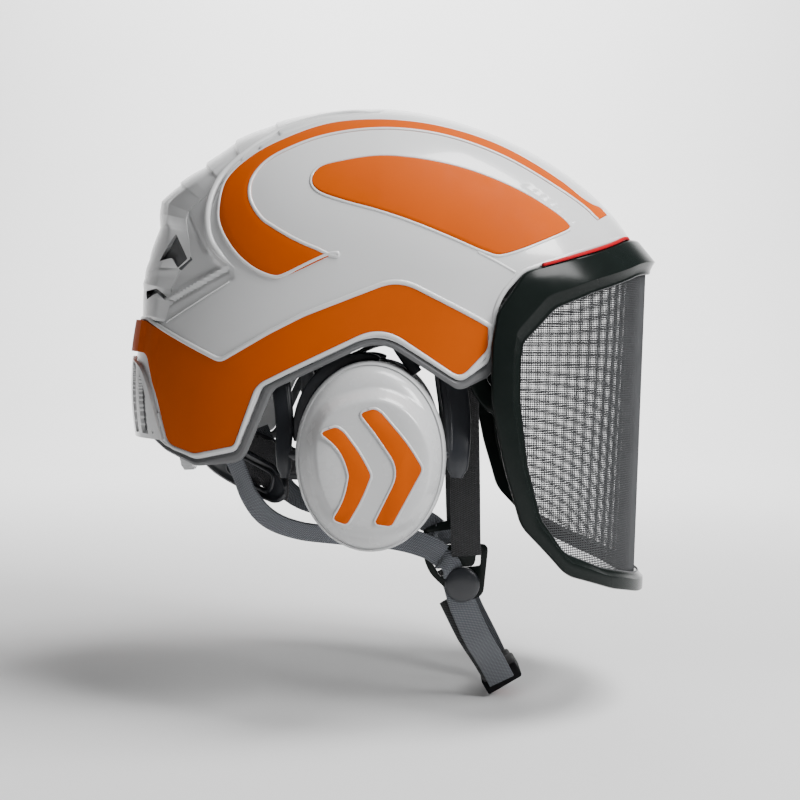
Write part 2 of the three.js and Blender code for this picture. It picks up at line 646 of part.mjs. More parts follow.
// ---------------------------------------------------------------- chin harness
function addChinHarness(side, word) {
  const outward = () => new THREE.Vector3(0, side, 0);
  const d = DIVIDER;
  const front = [
    [48, 76.5, -74.5], [49, 76.5, -108], [50.5, 66, -160], [51.5, 54.5, -203], [52, d.y + 1, -211],
  ];
  const rear = [
    [-66, 70, -168], [-63, 67, -187], [-54, 62, -197], [-30, 58, -202], [12, 56, -202.5], [32, 54, -207],
    [38.5, d.y + 1.5, -211],
  ];
  const lower = [[50.5, d.y - 0.5, -240], [58, 43, -257], [67, 30, -274], [71.8, 24.2, -282]];
  const onSide = (points) => points.map(([x, y, z]) => [x, y * side, z]);
  const w = WEBBING;
  addMesh(`front_strap_${word}`, strip(onSide(front), w.front, w.thick, outward, 12), 'blackWeb');
  addMesh(`rear_strap_${word}`, strip(onSide(rear), w.rear, w.thick, outward, 16), 'greyWeb');
  const turn = (u) => new THREE.Vector3(0.25, side * (1 - 0.35 * u), -0.55 * u);
  addMesh(`chin_strap_${word}`, strip(onSide(lower), w.chin, w.thick, turn, 10), 'greyWeb');
  const corner = (points, radius) => {
    const shape = new THREE.Shape();
    points.forEach(([x, z], i) => {
      const before = points[(i + points.length - 1) % points.length];
      const after = points[(i + 1) % points.length];
      const toward = ([tx, tz]) => {
        const length = Math.hypot(tx - x, tz - z);
        return [x + (tx - x) * radius / length, z + (tz - z) * radius / length];
      };
      const start = toward(before);
      const end = toward(after);
      shape[i === 0 ? 'moveTo' : 'lineTo'](...start);
      shape.quadraticCurveTo(x, z, ...end);
    });
    return shape;
  };
  const frame = corner([[-18, 8], [-14, -2], [3, -18], [15, -14], [18, 14], [-4, 14]], 4);
  frame.holes.push(corner([[-14.5, 6.5], [14, 10.5], [13.5, 2], [2, 1], [-8, -4]], 1.5));
  const ring = new THREE.ExtrudeGeometry(frame, { depth: d.depth, bevelEnabled: false, curveSegments: 4 });
  ring.rotateX(Math.PI / 2);
  ring.translate(d.x, (d.y - 3) * side + (side > 0 ? d.depth : 0), d.z);
  addMesh(`strap_divider_${word}`, ring, 'black');
  const cap = cylinderAlong('y', d.capRadius, d.y + d.capLift[0], d.y + d.capLift[1], 24);
  cap.scale(1, side, 1);
  cap.translate(d.x + 3.5, 0, d.z - 7.5);
  addMesh(`divider_lock_${word}`, closed(cap), 'darkPlastic');
  const anchor = block(41, 55, side * 78.2, side * 80.4, -80, -68);
  addMesh(`strap_anchor_${word}`, anchor, 'darkPlastic');
}

function addBuckle() {
  const b = BUCKLE;
  const group = new THREE.Group();
  group.position.set(b.x, 0, b.z);
  group.rotation.y = b.tilt;
  helmet.add(group);
  const half = b.width / 2;
  const socket = block(-half, half, -b.halfLength, 4, -b.thick / 2, b.thick / 2);
  const pocket = block(-5.3, 5.3, -13.3, -2.7, -b.thick / 2 - 2, 1);
  addMesh('buckle_socket', cut(socket, pocket), 'black', group);
  addMesh('buckle_release', block(-5, 5, -13, -3, -b.thick / 2 - 1.2, -1.8), 'red', group);
  const plug = block(-half + 2, half - 2, 4 + GAP, b.halfLength, -b.thick / 2 + 1, b.thick / 2 - 1);
  addMesh('buckle_plug', plug, 'black', group);
}

addShell();
addPanels();
addHeadHarness();
addSizeAdjuster();
addVisor();
bothSides(addMuff);
bothSides(addChinHarness);
addBuckle();

export default helmet;
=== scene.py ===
"""Forestry helmet: fine pieces, materials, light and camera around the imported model.

Shapes are worked out in millimetres and turned into metres when a mesh is made.
+X points to the face, +Y to the wearer's left, +Z up. The origin is the underside of the crown pad.
"""
import math

import bpy
import bmesh
import numpy as np
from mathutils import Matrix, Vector


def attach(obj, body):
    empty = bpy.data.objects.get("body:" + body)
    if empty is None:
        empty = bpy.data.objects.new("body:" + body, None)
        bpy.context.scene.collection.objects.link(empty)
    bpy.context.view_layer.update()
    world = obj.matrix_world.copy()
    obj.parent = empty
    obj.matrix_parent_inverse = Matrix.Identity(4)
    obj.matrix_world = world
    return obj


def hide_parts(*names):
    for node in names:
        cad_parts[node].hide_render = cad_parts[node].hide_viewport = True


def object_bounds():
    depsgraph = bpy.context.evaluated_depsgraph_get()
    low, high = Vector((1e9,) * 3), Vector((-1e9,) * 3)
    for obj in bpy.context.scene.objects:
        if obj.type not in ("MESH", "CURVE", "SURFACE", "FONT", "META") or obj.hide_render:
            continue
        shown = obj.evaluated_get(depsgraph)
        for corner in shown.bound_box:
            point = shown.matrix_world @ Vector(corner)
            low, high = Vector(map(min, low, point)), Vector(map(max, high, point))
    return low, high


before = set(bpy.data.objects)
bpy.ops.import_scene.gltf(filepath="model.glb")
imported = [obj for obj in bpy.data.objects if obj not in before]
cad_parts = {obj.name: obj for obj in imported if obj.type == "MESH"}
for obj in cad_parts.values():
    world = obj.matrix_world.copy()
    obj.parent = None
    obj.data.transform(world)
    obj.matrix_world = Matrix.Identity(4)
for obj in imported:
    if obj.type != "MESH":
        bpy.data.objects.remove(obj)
CAD_LOW, CAD_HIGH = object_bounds()

MM = 0.001
RIGHT, LEFT = -1, 1
SIDES = ((RIGHT, "right"), (LEFT, "left"))
PI = math.pi

# ------------------------------------------------------------------ curves and small maths


def mix(a, b, t):
    return a + (b - a) * t


def smooth_step(low, high, value):
    t = np.clip((value - low) / (high - low), 0, 1)
    return t * t * (3 - 2 * t)


def unit(v):
    return v / np.maximum(np.linalg.norm(v, axis=-1, keepdims=True), 1e-9)


def spline(points, t):
    """Centripetal Catmull-Rom curve through points, at t from 0 to 1 with equal steps between points."""
    p = np.asarray(points, float)
    t = np.atleast_1d(np.asarray(t, float)) * (len(p) - 1)
    i = np.clip(t.astype(int), 0, len(p) - 2)
    w = (t - i)[:, None]
    ends = np.vstack([2 * p[0] - p[1], p, 2 * p[-1] - p[-2]])
    p0, p1, p2, p3 = ends[i], ends[i + 1], ends[i + 2], ends[i + 3]

    def gap(a, b):
        return np.maximum(np.linalg.norm(b - a, axis=1) ** 0.5, 1e-4)[:, None]

    d0, d1, d2 = gap(p0, p1), gap(p1, p2), gap(p2, p3)
    m1 = ((p1 - p0) / d0 - (p2 - p0) / (d0 + d1) + (p2 - p1) / d1) * d1
    m2 = ((p2 - p1) / d1 - (p3 - p1) / (d1 + d2) + (p3 - p2) / d2) * d1
    return (p1 + m1 * w + (-3 * p1 + 3 * p2 - 2 * m1 - m2) * w ** 2
            + (2 * p1 - 2 * p2 + m1 + m2) * w ** 3)


def angular(points, t, soft=0.16):
    """Straight runs between points with tight rounded corners, at t from 0 to 1."""
    p = np.asarray(points, float)
    s = np.clip(np.atleast_1d(np.asarray(t, float)), 0, 1) * (len(p) - 1)
    i = np.clip(s.astype(int), 0, len(p) - 2)
    w = (s - i)[:, None]
    result = p[i] * (1 - w) + p[i + 1] * w
    for k in range(1, len(p) - 1):
        near = np.abs(s - k) < soft
        w = ((s[near] - k + soft) / (2 * soft))[:, None]
        before, after = mix(p[k], p[k - 1], soft), mix(p[k], p[k + 1], soft)
        result[near] = (1 - w) ** 2 * before + 2 * w * (1 - w) * p[k] + w * w * after
    return result


def even(path, count):
    """count points at equal steps along a polyline."""
    path = np.asarray(path, float)
    run = np.concatenate([[0], np.cumsum(np.linalg.norm(np.diff(path, axis=0), axis=1))])
    at = np.linspace(0, run[-1], count)
    return np.stack([np.interp(at, run, path[:, k]) for k in range(path.shape[1])], axis=1)


def line(points, count):
    """count points at equal steps along the smooth curve through points."""
    return even(spline(points, np.linspace(0, 1, 40 * len(points))), count)


def rounded(points, radius, steps=5):
    """A closed polygon with its corners rounded."""
    p = np.asarray(points, float)
    result = []
    for k in range(len(p)):
        before, here, after = p[k - 1], p[k], p[(k + 1) % len(p)]
        room = min(np.linalg.norm(before - here), np.linalg.norm(after - here)) * 0.45
        r = min(radius, room)
        a = here + unit(before - here) * r
        b = here + unit(after - here) * r
        for t in np.linspace(0, 1, steps):
            result.append((1 - t) ** 2 * a + 2 * t * (1 - t) * here + t * t * b)
    return np.array(result)


# How far a corner without a radius is softened, mm along each run.
PLAIN_CORNER = 1.5


def arcs(corners, steps=13):
    """An open outline from its corners, each x, z and, where it is round, a radius. Straight runs meet in
    curves that start and end where an arc of that radius would. Each run and each corner has as many points
    as any other, so outlines with as many corners pair up."""
    spots = [np.array(corner[:2], float) for corner in corners]
    result = [spots[0]]
    for k in range(1, len(spots) - 1):
        here = spots[k]
        before, after = unit(spots[k - 1] - here), unit(spots[k + 1] - here)
        turn = np.arccos(np.clip(-(before @ after), -1, 1))
        reach = corners[k][2] * np.tan(turn / 2) if len(corners[k]) > 2 else PLAIN_CORNER
        first, last = here + before * reach, here + after * reach
        start = result[-1]
        result.extend(mix(start, first, v) for v in (0.25, 0.5, 0.75))
        for t in np.linspace(0, 1, steps):
            result.append((1 - t) ** 2 * first + 2 * t * (1 - t) * here + t * t * last)
    start = result[-1]
    result.extend(mix(start, spots[-1], v) for v in (0.25, 0.5, 0.75, 1))
    return np.array(result)


def place_on(points, t):
    """Places along a dense outline, at t from 0 to 1, counted in its points."""
    at = np.asarray(t, float) * (len(points) - 1)
    return np.stack([np.interp(at, np.arange(len(points)), points[:, k]) for k in (0, 1)], axis=1)


def path_distance(px, pz, path):
    """Distance in the side view from points to a polyline."""
    best = np.full(np.shape(px), 1e9)
    for (ax, az), (bx, bz) in zip(path[:-1], path[1:]):
        dx, dz = bx - ax, bz - az
        t = np.clip(((px - ax) * dx + (pz - az) * dz) / max(dx * dx + dz * dz, 1e-9), 0, 1)
        best = np.minimum(best, np.hypot(px - ax - t * dx, pz - az - t * dz))
    return best


def inside(px, pz, outline):
    """Signed distance to a closed outline in the side view, positive inside."""
    closed = np.vstack([outline, outline[:1]])
    d = path_distance(px, pz, closed)
    odd = np.zeros(np.shape(px), bool)
    for (ax, az), (bx, bz) in zip(closed[:-1], closed[1:]):
        crosses = (az > pz) != (bz > pz)
        odd ^= crosses & (px < ax + (pz - az) * (bx - ax) / (bz - az if bz != az else 1e-9))
    return np.where(odd, d, -d)


# ------------------------------------------------------------------ meshes


def finish_mesh(name, vertices, faces, uv=None, sharp=35, weld=False):
    mesh = bpy.data.meshes.new(name)
    mesh.from_pydata((np.asarray(vertices) * MM).tolist(), [], faces)
    if uv is not None:
        layer = mesh.uv_layers.new(name="UVMap")
        corner = np.zeros(len(mesh.loops), np.int32)
        mesh.loops.foreach_get("vertex_index", corner)
        layer.data.foreach_set("uv", np.asarray(uv, float)[corner].ravel())
    work = bmesh.new()
    work.from_mesh(mesh)
    if weld:
        bmesh.ops.remove_doubles(work, verts=work.verts, dist=1e-6)
    bmesh.ops.recalc_face_normals(work, faces=work.faces)
    work.to_mesh(mesh)
    work.free()
    mesh.polygons.foreach_set("use_smooth", [True] * len(mesh.polygons))
    mesh.set_sharp_from_angle(angle=math.radians(sharp))
    piece = bpy.data.objects.new(name, mesh)
    bpy.context.scene.collection.objects.link(piece)
    return piece


def grid_faces(rows, columns, start, wrap, flip):
    faces = []
    for r in range(rows - 1):
        for c in range(columns if wrap else columns - 1):
            n = (c + 1) % columns
            a, b = start + r * columns, start + (r + 1) * columns
            quad = [a + c, a + n, b + n, b + c]
            faces.append(quad[::-1] if flip else quad)
    return faces


def slab(name, front, back, wrap=False, close=(True, True), uv=None, sharp=35, weld=False):
    """Closed body between two grids of points (rows, columns, 3) with the same columns.

    wrap joins the last column to the first. close says whether the first and last rows are joined.
    """
    rows, columns, _ = front.shape
    back_rows = back.shape[0]
    size = rows * columns
    faces = grid_faces(rows, columns, 0, wrap, False) + grid_faces(back_rows, columns, size, wrap, True)
    for r, q, wanted in ((0, 0, close[0]), (rows - 1, back_rows - 1, close[1])):
        if wanted:
            for c in range(columns if wrap else columns - 1):
                n = (c + 1) % columns
                faces.append([r * columns + c, r * columns + n, size + q * columns + n, size + q * columns + c])
    if not wrap:
        for c in (0, columns - 1):
            for r in range(rows - 1):
                a, b = r * columns + c, (r + 1) * columns + c
                faces.append([a, b, size + b, size + a])
    vertices = np.concatenate([front.reshape(-1, 3), back.reshape(-1, 3)])
    both = None if uv is None else np.concatenate([uv.reshape(-1, 2)] * 2)
    return finish_mesh(name, vertices, faces, both, sharp, weld)


def ring_body(name, rings, cap=True, sharp=35, uv=None):
    """Closed body through rings of points (rings, sides, 3), capped, or joined end to end if cap is False."""
    count, sides, _ = rings.shape
    faces = grid_faces(count, sides, 0, True, False)
    if cap:
        faces.append(list(range(sides)))
        faces.append([(count - 1) * sides + k for k in range(sides)][::-1])
    else:
        for k in range(sides):
            n = (k + 1) % sides
            base = (count - 1) * sides
            faces.append([base + k, base + n, n, k])
    return finish_mesh(name, rings.reshape(-1, 3), faces, uv, sharp)


def frames_along(path, up):
    tangent = unit(np.gradient(path, axis=0))
    across = unit(np.cross(tangent, up))
    return across, np.cross(across, tangent)


def tube(name, path, radius, up=(0, 0, 1), flat=1.0, sides=10, sharp=50):
    """Round or flattened rod along a path. up is the direction of its thin axis."""
    path = np.asarray(path, float)
    across, lift = frames_along(path, np.broadcast_to(np.asarray(up, float), path.shape))
    angle = np.linspace(0, 2 * PI, sides, endpoint=False)
    size = np.broadcast_to(radius, (len(path),))[:, None, None]
    rings = path[:, None] + size * (np.cos(angle)[None, :, None] * across[:, None]
                                    + flat * np.sin(angle)[None, :, None] * lift[:, None])
    return ring_body(name, rings, sharp=sharp)


def bar(name, path, width, thick, up, corner=0.6, steps=3, sharp=40, crown=0.0):
    """Rounded rectangular section along a path, its wide face looking along up, with strap UVs in metres."""
    path = np.asarray(path, float)
    across, lift = frames_along(path, np.broadcast_to(np.asarray(up, float), path.shape))
    width = np.broadcast_to(np.asarray(width, float), (len(path),))
    thick = np.broadcast_to(np.asarray(thick, float), (len(path),))
    fan = np.linspace(0, PI / 2, steps + 1)
    spots = []
    for sx, sy, turn in ((1, 1, 0), (-1, 1, 1), (-1, -1, 2), (1, -1, 3)):
        angle = fan + turn * PI / 2
        spots += [(sx, sy, math.cos(a), math.sin(a)) for a in angle]
        if sy > 0 and sx > 0 or sy < 0 and sx < 0:
            spots += [(sx * k, sy, 0, sy) for k in (0.5, 0, -0.5)]
    spots = np.array(spots)
    r = np.minimum(corner, 0.49 * np.minimum(width, thick))[:, None]
    half_w, half_t = width[:, None] / 2 - r, thick[:, None] / 2 - r
    a = spots[None, :, 0] * half_w + r * spots[None, :, 2]
    b = spots[None, :, 1] * half_t + r * spots[None, :, 3]
    b = b + crown * np.sign(b) * (1 - np.clip(np.abs(a) / (width[:, None] / 2), 0, 1) ** 2)
    rings = path[:, None] + a[..., None] * across[:, None] + b[..., None] * lift[:, None]
    run = np.concatenate([[0], np.cumsum(np.linalg.norm(np.diff(path, axis=0), axis=1))]) * MM
    uv = np.stack([np.broadcast_to(run[:, None], a.shape), a * MM], axis=-1).reshape(-1, 2)
    return ring_body(name, rings, sharp=sharp, uv=uv)


def grown(outline, by):
    """A closed outline moved outwards."""
    outline = np.asarray(outline, float)
    tangent = unit(np.roll(outline, -1, axis=0) - np.roll(outline, 1, axis=0))
    x, z = outline.T
    turn = np.sign(np.sum(x * np.roll(z, -1) - z * np.roll(x, -1)))
    return outline + by * turn * np.stack([tangent[:, 1], -tangent[:, 0]], axis=1)


def plate(name, outline, low, high, side, edge=0.35):
    """A flat piece seen from the side, between two distances |y|, with softened top edges."""
    outline = np.asarray(outline, float)
    centre = outline.mean(axis=0)
    rings = []
    for y, shrink in ((low, 0), (high - edge, 0), (high - 0.3 * edge, 0.3 * edge), (high, edge)):
        inward = unit(centre - outline) * shrink
        flat = outline + inward
        rings.append(np.stack([flat[:, 0], np.full(len(flat), side * y), flat[:, 1]], axis=1))
    return ring_body(name, np.array(rings), sharp=50)


def join_pieces(name, pieces):
    """One mesh object out of several."""
    work = bmesh.new()
    for piece in pieces:
        work.from_mesh(piece.data)
        mesh = piece.data
        bpy.data.objects.remove(piece)
        bpy.data.meshes.remove(mesh)
    mesh = bpy.data.meshes.new(name)
    work.to_mesh(mesh)
    work.free()
    piece = bpy.data.objects.new(name, mesh)
    bpy.context.scene.collection.objects.link(piece)
    return piece


def apply_modifiers(piece):
    graph = bpy.context.evaluated_depsgraph_get()
    mesh = bpy.data.meshes.new_from_object(piece.evaluated_get(graph))
    old = piece.data
    piece.modifiers.clear()
    piece.data = mesh
    bpy.data.meshes.remove(old)
    return piece


def cut_out(piece, tool):
    """Takes the tool away from the piece."""
    cutter = piece.modifiers.new("cut", "BOOLEAN")
    cutter.operation = "DIFFERENCE"
    cutter.solver = "EXACT"
    cutter.object = tool
    apply_modifiers(piece)
    mesh = tool.data
    bpy.data.objects.remove(tool)
    bpy.data.meshes.remove(mesh)
    piece.data.set_sharp_from_angle(angle=math.radians(35))
    return piece


def copy_node(node, name):
    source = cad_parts[node]
    piece = bpy.data.objects.new(name, source.data.copy())
    piece.matrix_world = source.matrix_world.copy()
    bpy.context.scene.collection.objects.link(piece)
    piece.data.materials.clear()
    for key in list(piece.keys()):
        del piece[key]
    return piece


def softened(node, name, bevel=0.5, segments=3, angle=38):
    """A copy of a CAD node with rounded edges."""
    piece = copy_node(node, name)
    work = bmesh.new()
    work.from_mesh(piece.data)
    bmesh.ops.remove_doubles(work, verts=work.verts, dist=1e-6)
    bmesh.ops.dissolve_limit(work, angle_limit=math.radians(1), verts=work.verts, edges=work.edges)
    work.to_mesh(piece.data)
    work.free()
    rounding = piece.modifiers.new("edges", "BEVEL")
    rounding.width = bevel * MM
    rounding.segments = segments
    rounding.limit_method = "ANGLE"
    rounding.angle_limit = math.radians(angle)
    apply_modifiers(piece)
    piece.data.polygons.foreach_set("use_smooth", [True] * len(piece.data.polygons))
    piece.data.set_sharp_from_angle(angle=math.radians(35))
    return piece


def place(piece, body, material, *nodes, slot=None):
    piece.data.materials.clear()
    for one in material if isinstance(material, tuple) else (material,):
        piece.data.materials.append(one)
    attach(piece, body)
    if nodes:
        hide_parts(*nodes)
    return piece


def puffed(node, name, body, material, voxel=4.0, cap=2.2):
    """A padded piece: a CAD cushion's cover, inflated as cloth from its own shape."""
    piece = copy_node(node, name)
    remesh = piece.modifiers.new("voxels", "REMESH")
    remesh.mode = "VOXEL"
    remesh.voxel_size = voxel * MM
    apply_modifiers(piece)
    before = np.zeros(len(piece.data.vertices) * 3)
    piece.data.vertices.foreach_get("co", before)
    cloth = piece.modifiers.new("cloth", "CLOTH")
    cloth.settings.quality = 6
    cloth.settings.mass = 0.3
    cloth.settings.use_pressure = True
    cloth.settings.uniform_pressure_force = 4
    cloth.settings.effector_weights.gravity = 0
    cloth.settings.tension_stiffness = 20
    cloth.settings.compression_stiffness = 20
    cloth.settings.bending_stiffness = 2
    cloth.collision_settings.use_collision = False
    cloth.point_cache.frame_start = 1
    cloth.point_cache.frame_end = 20
    for step in range(1, 21):
        bpy.context.scene.frame_set(step)
    apply_modifiers(piece)
    after = np.zeros(len(piece.data.vertices) * 3)
    piece.data.vertices.foreach_get("co", after)
    travel = (after - before).reshape(-1, 3)
    length = np.linalg.norm(travel, axis=1, keepdims=True)
    limited = travel * np.minimum(1, cap * MM / np.maximum(length, 1e-9))
    piece.data.vertices.foreach_set("co", (before.reshape(-1, 3) + limited).ravel())
    bpy.context.scene.frame_set(1)
    finer = piece.modifiers.new("finer", "SUBSURF")
    finer.levels = 1
    finer.render_levels = 1
    apply_modifiers(piece)
    piece.data.polygons.foreach_set("use_smooth", [True] * len(piece.data.polygons))
    place(piece, body, material, node, slot="soft_foam")
    return piece


# ------------------------------------------------------------------ materials


def new_material(name):
    material = bpy.data.materials.new(name)
    material.use_nodes = True
    nodes = material.node_tree.nodes
    return material, nodes, material.node_tree.links, nodes["Principled BSDF"]


def object_noise(nodes, links, scale, detail=3.0):
    where = nodes.new("ShaderNodeTexCoord")
    noise = nodes.new("ShaderNodeTexNoise")
    noise.inputs["Scale"].default_value = scale
    noise.inputs["Detail"].default_value = detail
    links.new(where.outputs["Object"], noise.inputs["Vector"])
    return noise


def ramp(nodes, links, source, low, high, start=0.3, end=0.7):
    """Maps a factor between start and end to two colours or numbers."""
    node = nodes.new("ShaderNodeValToRGB")
    node.color_ramp.elements[0].position = start
    node.color_ramp.elements[1].position = end
    if not hasattr(low, "__len__"):
        low, high = (low,) * 3, (high,) * 3
    node.color_ramp.elements[0].color = (*low, 1)
    node.color_ramp.elements[1].color = (*high, 1)
    links.new(source, node.inputs["Fac"])
    return node.outputs["Color"]


def bump(nodes, links, shader, height, strength, distance):
    node = nodes.new("ShaderNodeBump")
    node.inputs["Strength"].default_value = strength
    node.inputs["Distance"].default_value = distance
    links.new(height, node.inputs["Height"])
    links.new(node.outputs["Normal"], shader.inputs["Normal"])


def moulded(name, colour, rough, coat=0.0, metal=0.0, grain=0.02, grain_size=900, change=0.06, wear=0.25,
             shine=0.5):
    """Moulded plastic or metal: slight cloudiness, fine surface grain, uneven shine."""
    material, nodes, links, shader = new_material(name)
    cloud = object_noise(nodes, links, 35, 4)
    darker = tuple(c * (1 - change) for c in colour)
    links.new(ramp(nodes, links, cloud.outputs["Fac"], darker, colour), shader.inputs["Base Color"])
    scuff = object_noise(nodes, links, 140, 5)
    worn = ramp(nodes, links, scuff.outputs["Fac"], rough, min(1, rough * (1 + wear)), 0.35, 0.75)
    links.new(worn, shader.inputs["Roughness"])
    fine = object_noise(nodes, links, grain_size, 2)
    bump(nodes, links, shader, fine.outputs["Fac"], grain, 0.0004)
    shader.inputs["Metallic"].default_value = metal
    shader.inputs["Specular IOR Level"].default_value = shine
    shader.inputs["Coat Weight"].default_value = coat
    shader.inputs["Coat Roughness"].default_value = 0.04
    return material


def woven(name, colour, light, pitch=0.0011):
    """Woven strap: crossing ribs along and across the strap, soft sheen."""
    material, nodes, links, shader = new_material(name)
    where = nodes.new("ShaderNodeUVMap")
    split = nodes.new("ShaderNodeSeparateXYZ")
    links.new(where.outputs["UV"], split.inputs["Vector"])

    def rib(source, step, phase=None):
        scaled = nodes.new("ShaderNodeMath")
        scaled.operation = "MULTIPLY_ADD"
        scaled.inputs[1].default_value = 2 * PI / step
        scaled.inputs[2].default_value = 0
        links.new(source, scaled.inputs[0])
        if phase is not None:
            links.new(phase, scaled.inputs[2])
        wave = nodes.new("ShaderNodeMath")
        wave.operation = "SINE"
        links.new(scaled.outputs["Value"], wave.inputs[0])
        return wave.outputs["Value"]

    twill = nodes.new("ShaderNodeMath")
    twill.operation = "MULTIPLY"
    twill.inputs[1].default_value = PI / pitch
    links.new(split.outputs["Y"], twill.inputs[0])
    along = rib(split.outputs["X"], pitch, twill.outputs["Value"])
    across = rib(split.outputs["Y"], pitch * 1.4)
    both = nodes.new("ShaderNodeMath")
    both.operation = "MULTIPLY_ADD"
    both.inputs[1].default_value = 0.35
    links.new(across, both.inputs[0])
    links.new(along, both.inputs[2])
    links.new(ramp(nodes, links, both.outputs["Value"], colour, light, 0.0, 1.0), shader.inputs["Base Color"])
    bump(nodes, links, shader, both.outputs["Value"], 0.5, 0.0003)
    shader.inputs["Roughness"].default_value = 0.75
    shader.inputs["Sheen Weight"].default_value = 0.2
    shader.inputs["Sheen Roughness"].default_value = 0.5
    return material


def textile(name, colour, light, scale=1400):
    """Padded knit: tiny cells, soft colour change and sheen."""
    material, nodes, links, shader = new_material(name)
    where = nodes.new("ShaderNodeTexCoord")
    cells = nodes.new("ShaderNodeTexVoronoi")
    cells.inputs["Scale"].default_value = scale
    links.new(where.outputs["Object"], cells.inputs["Vector"])
    cloud = object_noise(nodes, links, 60, 4)
    links.new(ramp(nodes, links, cloud.outputs["Fac"], colour, light), shader.inputs["Base Color"])
    bump(nodes, links, shader, cells.outputs["Distance"], 0.6, 0.0006)
    shader.inputs["Roughness"].default_value = 0.85
    shader.inputs["Sheen Weight"].default_value = 0.3
    shader.inputs["Sheen Roughness"].default_value = 0.5
    return material


WHITE = moulded("shell_white", (0.66, 0.665, 0.67), 0.22, coat=0.35, grain=0.01, change=0.02, wear=0.1)
ORANGE = moulded("shell_orange", (0.52, 0.078, 0.0), 0.5, grain=0.05, change=0.06, shine=0.05)
FLANGE = moulded("flange_grey", (0.12, 0.122, 0.126), 0.34, grain=0.05)
LINER = moulded("liner_foam", (0.03, 0.03, 0.032), 0.85, grain=0.8, grain_size=450, change=0.4)
BLACK = moulded("gloss_black", (0.008, 0.011, 0.010), 0.16, coat=0.0, grain=0.004, change=0.2, shine=0.12)
DARK = moulded("dark_plastic", (0.020, 0.022, 0.027), 0.34, coat=0.15, grain=0.04, change=0.15)
CUP = moulded("cup_grey", (0.54, 0.545, 0.55), 0.26, coat=0.35, grain=0.015, change=0.02, wear=0.1)
BUCKLE = moulded("buckle_black", (0.009, 0.009, 0.010), 0.6, grain=0.3, change=0.2, shine=0.06)
STEEL = moulded("pin_steel", (0.55, 0.56, 0.57), 0.3, metal=1.0, grain=0.05)
WIRE = moulded("mesh_wire", (0.07, 0.072, 0.076), 0.42, metal=0.3, grain=0.05, change=0.2)
RED = moulded("red_trim", (0.42, 0.0, 0.008), 0.45, grain=0.05, shine=0.1)
BLACK_WEB = woven("black_webbing", (0.005, 0.005, 0.006), (0.028, 0.029, 0.032))
GREY_WEB = woven("grey_webbing", (0.075, 0.082, 0.094), (0.17, 0.18, 0.20))
TEXTILE = textile("pad_textile", (0.012, 0.012, 0.014), (0.03, 0.03, 0.034))
LEATHERETTE = textile("cushion_skin", (0.012, 0.012, 0.013), (0.022, 0.022, 0.024), 500)

# ------------------------------------------------------------------ shell surface

MIDDLE_X, EQUATOR_Z = 5.0, -60.0
FRONT_REACH, REAR_REACH, RISE, HALF_WIDTH = 150.0, 131.5, 97.6, 105.0
FRONT_POWER, REAR_POWER, SIDE_POWER = 1.68, 2.15, 2.3
WALL = 2.5


def reach_at(z, front):
    power = np.where(front, FRONT_POWER, REAR_POWER)
    reach = np.where(front, FRONT_REACH, REAR_REACH)
    rise = np.clip((z - EQUATOR_Z) / RISE, 0, 1)
    upper = reach * (1 - rise ** power) ** (1 / power)
    depth = np.clip(EQUATOR_Z - z, 0, 120) / 120
    lower = np.where(front, reach, reach + 9 * np.sin(PI * depth))
    return np.where(z >= EQUATOR_Z, upper, lower)


def side_fraction(x, z):
    dx = x - MIDDLE_X
    front = dx >= 0
    power = np.where(front, FRONT_POWER, REAR_POWER)
    reach = np.where(front, FRONT_REACH, REAR_REACH)
    rise = np.maximum(z - EQUATOR_Z, 0) / RISE
    above = ((np.abs(dx) / reach) ** power + rise ** power) ** (1 / power)
    below = np.abs(dx) / np.maximum(reach_at(z, front), 1e-6)
    return np.where(z >= EQUATOR_Z, above, below)


def width_at(z):
    below = np.maximum(0, EQUATOR_Z - z) / 90
    return HALF_WIDTH - 6 * below ** 2


def half_width(x, z):
    fraction = np.minimum(1, side_fraction(x, z))
    return width_at(z) * (1 - fraction ** SIDE_POWER) ** (1 / SIDE_POWER)


def shell_normal(x, y, z):
    def level(px, py, pz):
        return side_fraction(px, pz) ** SIDE_POWER + (np.abs(py) / width_at(pz)) ** SIDE_POWER

    h = 0.05
    return unit(np.stack([
        level(x + h, y, z) - level(x - h, y, z),
        level(x, y + h, z) - level(x, y - h, z),
        level(x, y, z + h) - level(x, y, z - h),
    ], axis=-1))


def on_shell(side, x, z, out=0.0):
    x, z = np.asarray(x, float), np.asarray(z, float)
    y = side * half_width(x, z)
    spot = np.stack([x, y, z], axis=-1)
    return spot + shell_normal(x, y, z) * (np.asarray(out, float) + 0 * x)[..., None]


def rear_x(z):
    return MIDDLE_X - float(reach_at(np.float64(z), False))


# Outlines in the side view, mm: x, z and, at a round corner, its radius. The two outlines of a pair have as
# many corners.
LOWER_RIM = [
    (rear_x(-134), -134), (-122, -141.5, 12), (-109.5, -150.4, 14), (-91, -156.8, 9), (-68.2, -151.6, 5),
    (-53.5, -117.7, 7), (6.3, -90, 26), (47, -116, 6), (61.7, -105.5, 7), (63, -99),
]
FLANGE_RIM = [
    (rear_x(-140), -140), (-121, -146, 12), (-110, -153.3, 14), (-91, -160.6, 9), (-65, -157.4, 11),
    (-48, -119.6, 7), (6, -94.3, 22), (46.5, -120.4, 7), (61.5, -113.3, 8), (65, -108),
]
FRONT_RIM = [(67, -73.5, 28), (79.5, -60.4, 14), (136, -40, 20), (146.5, -38)]
SHELL_RIM = arcs(LOWER_RIM[:-1] + FRONT_RIM)
LINER_RIM = [(-134, -105), (-100, -95), (-62, -48), (0, -38), (60, -38), (110, -36), (150, -30)]
BAND_TOP = [
    (rear_x(-83), -83), (-122, -83.5, 8), (-101, -94.2), (-88, -100.6), (-76, -106.3, 7), (-50, -91.7),
    (-32, -82.8, 80), (15.5, -64.6, 23), (46, -80), (56, -85.3), (60.8, -88.2),
]
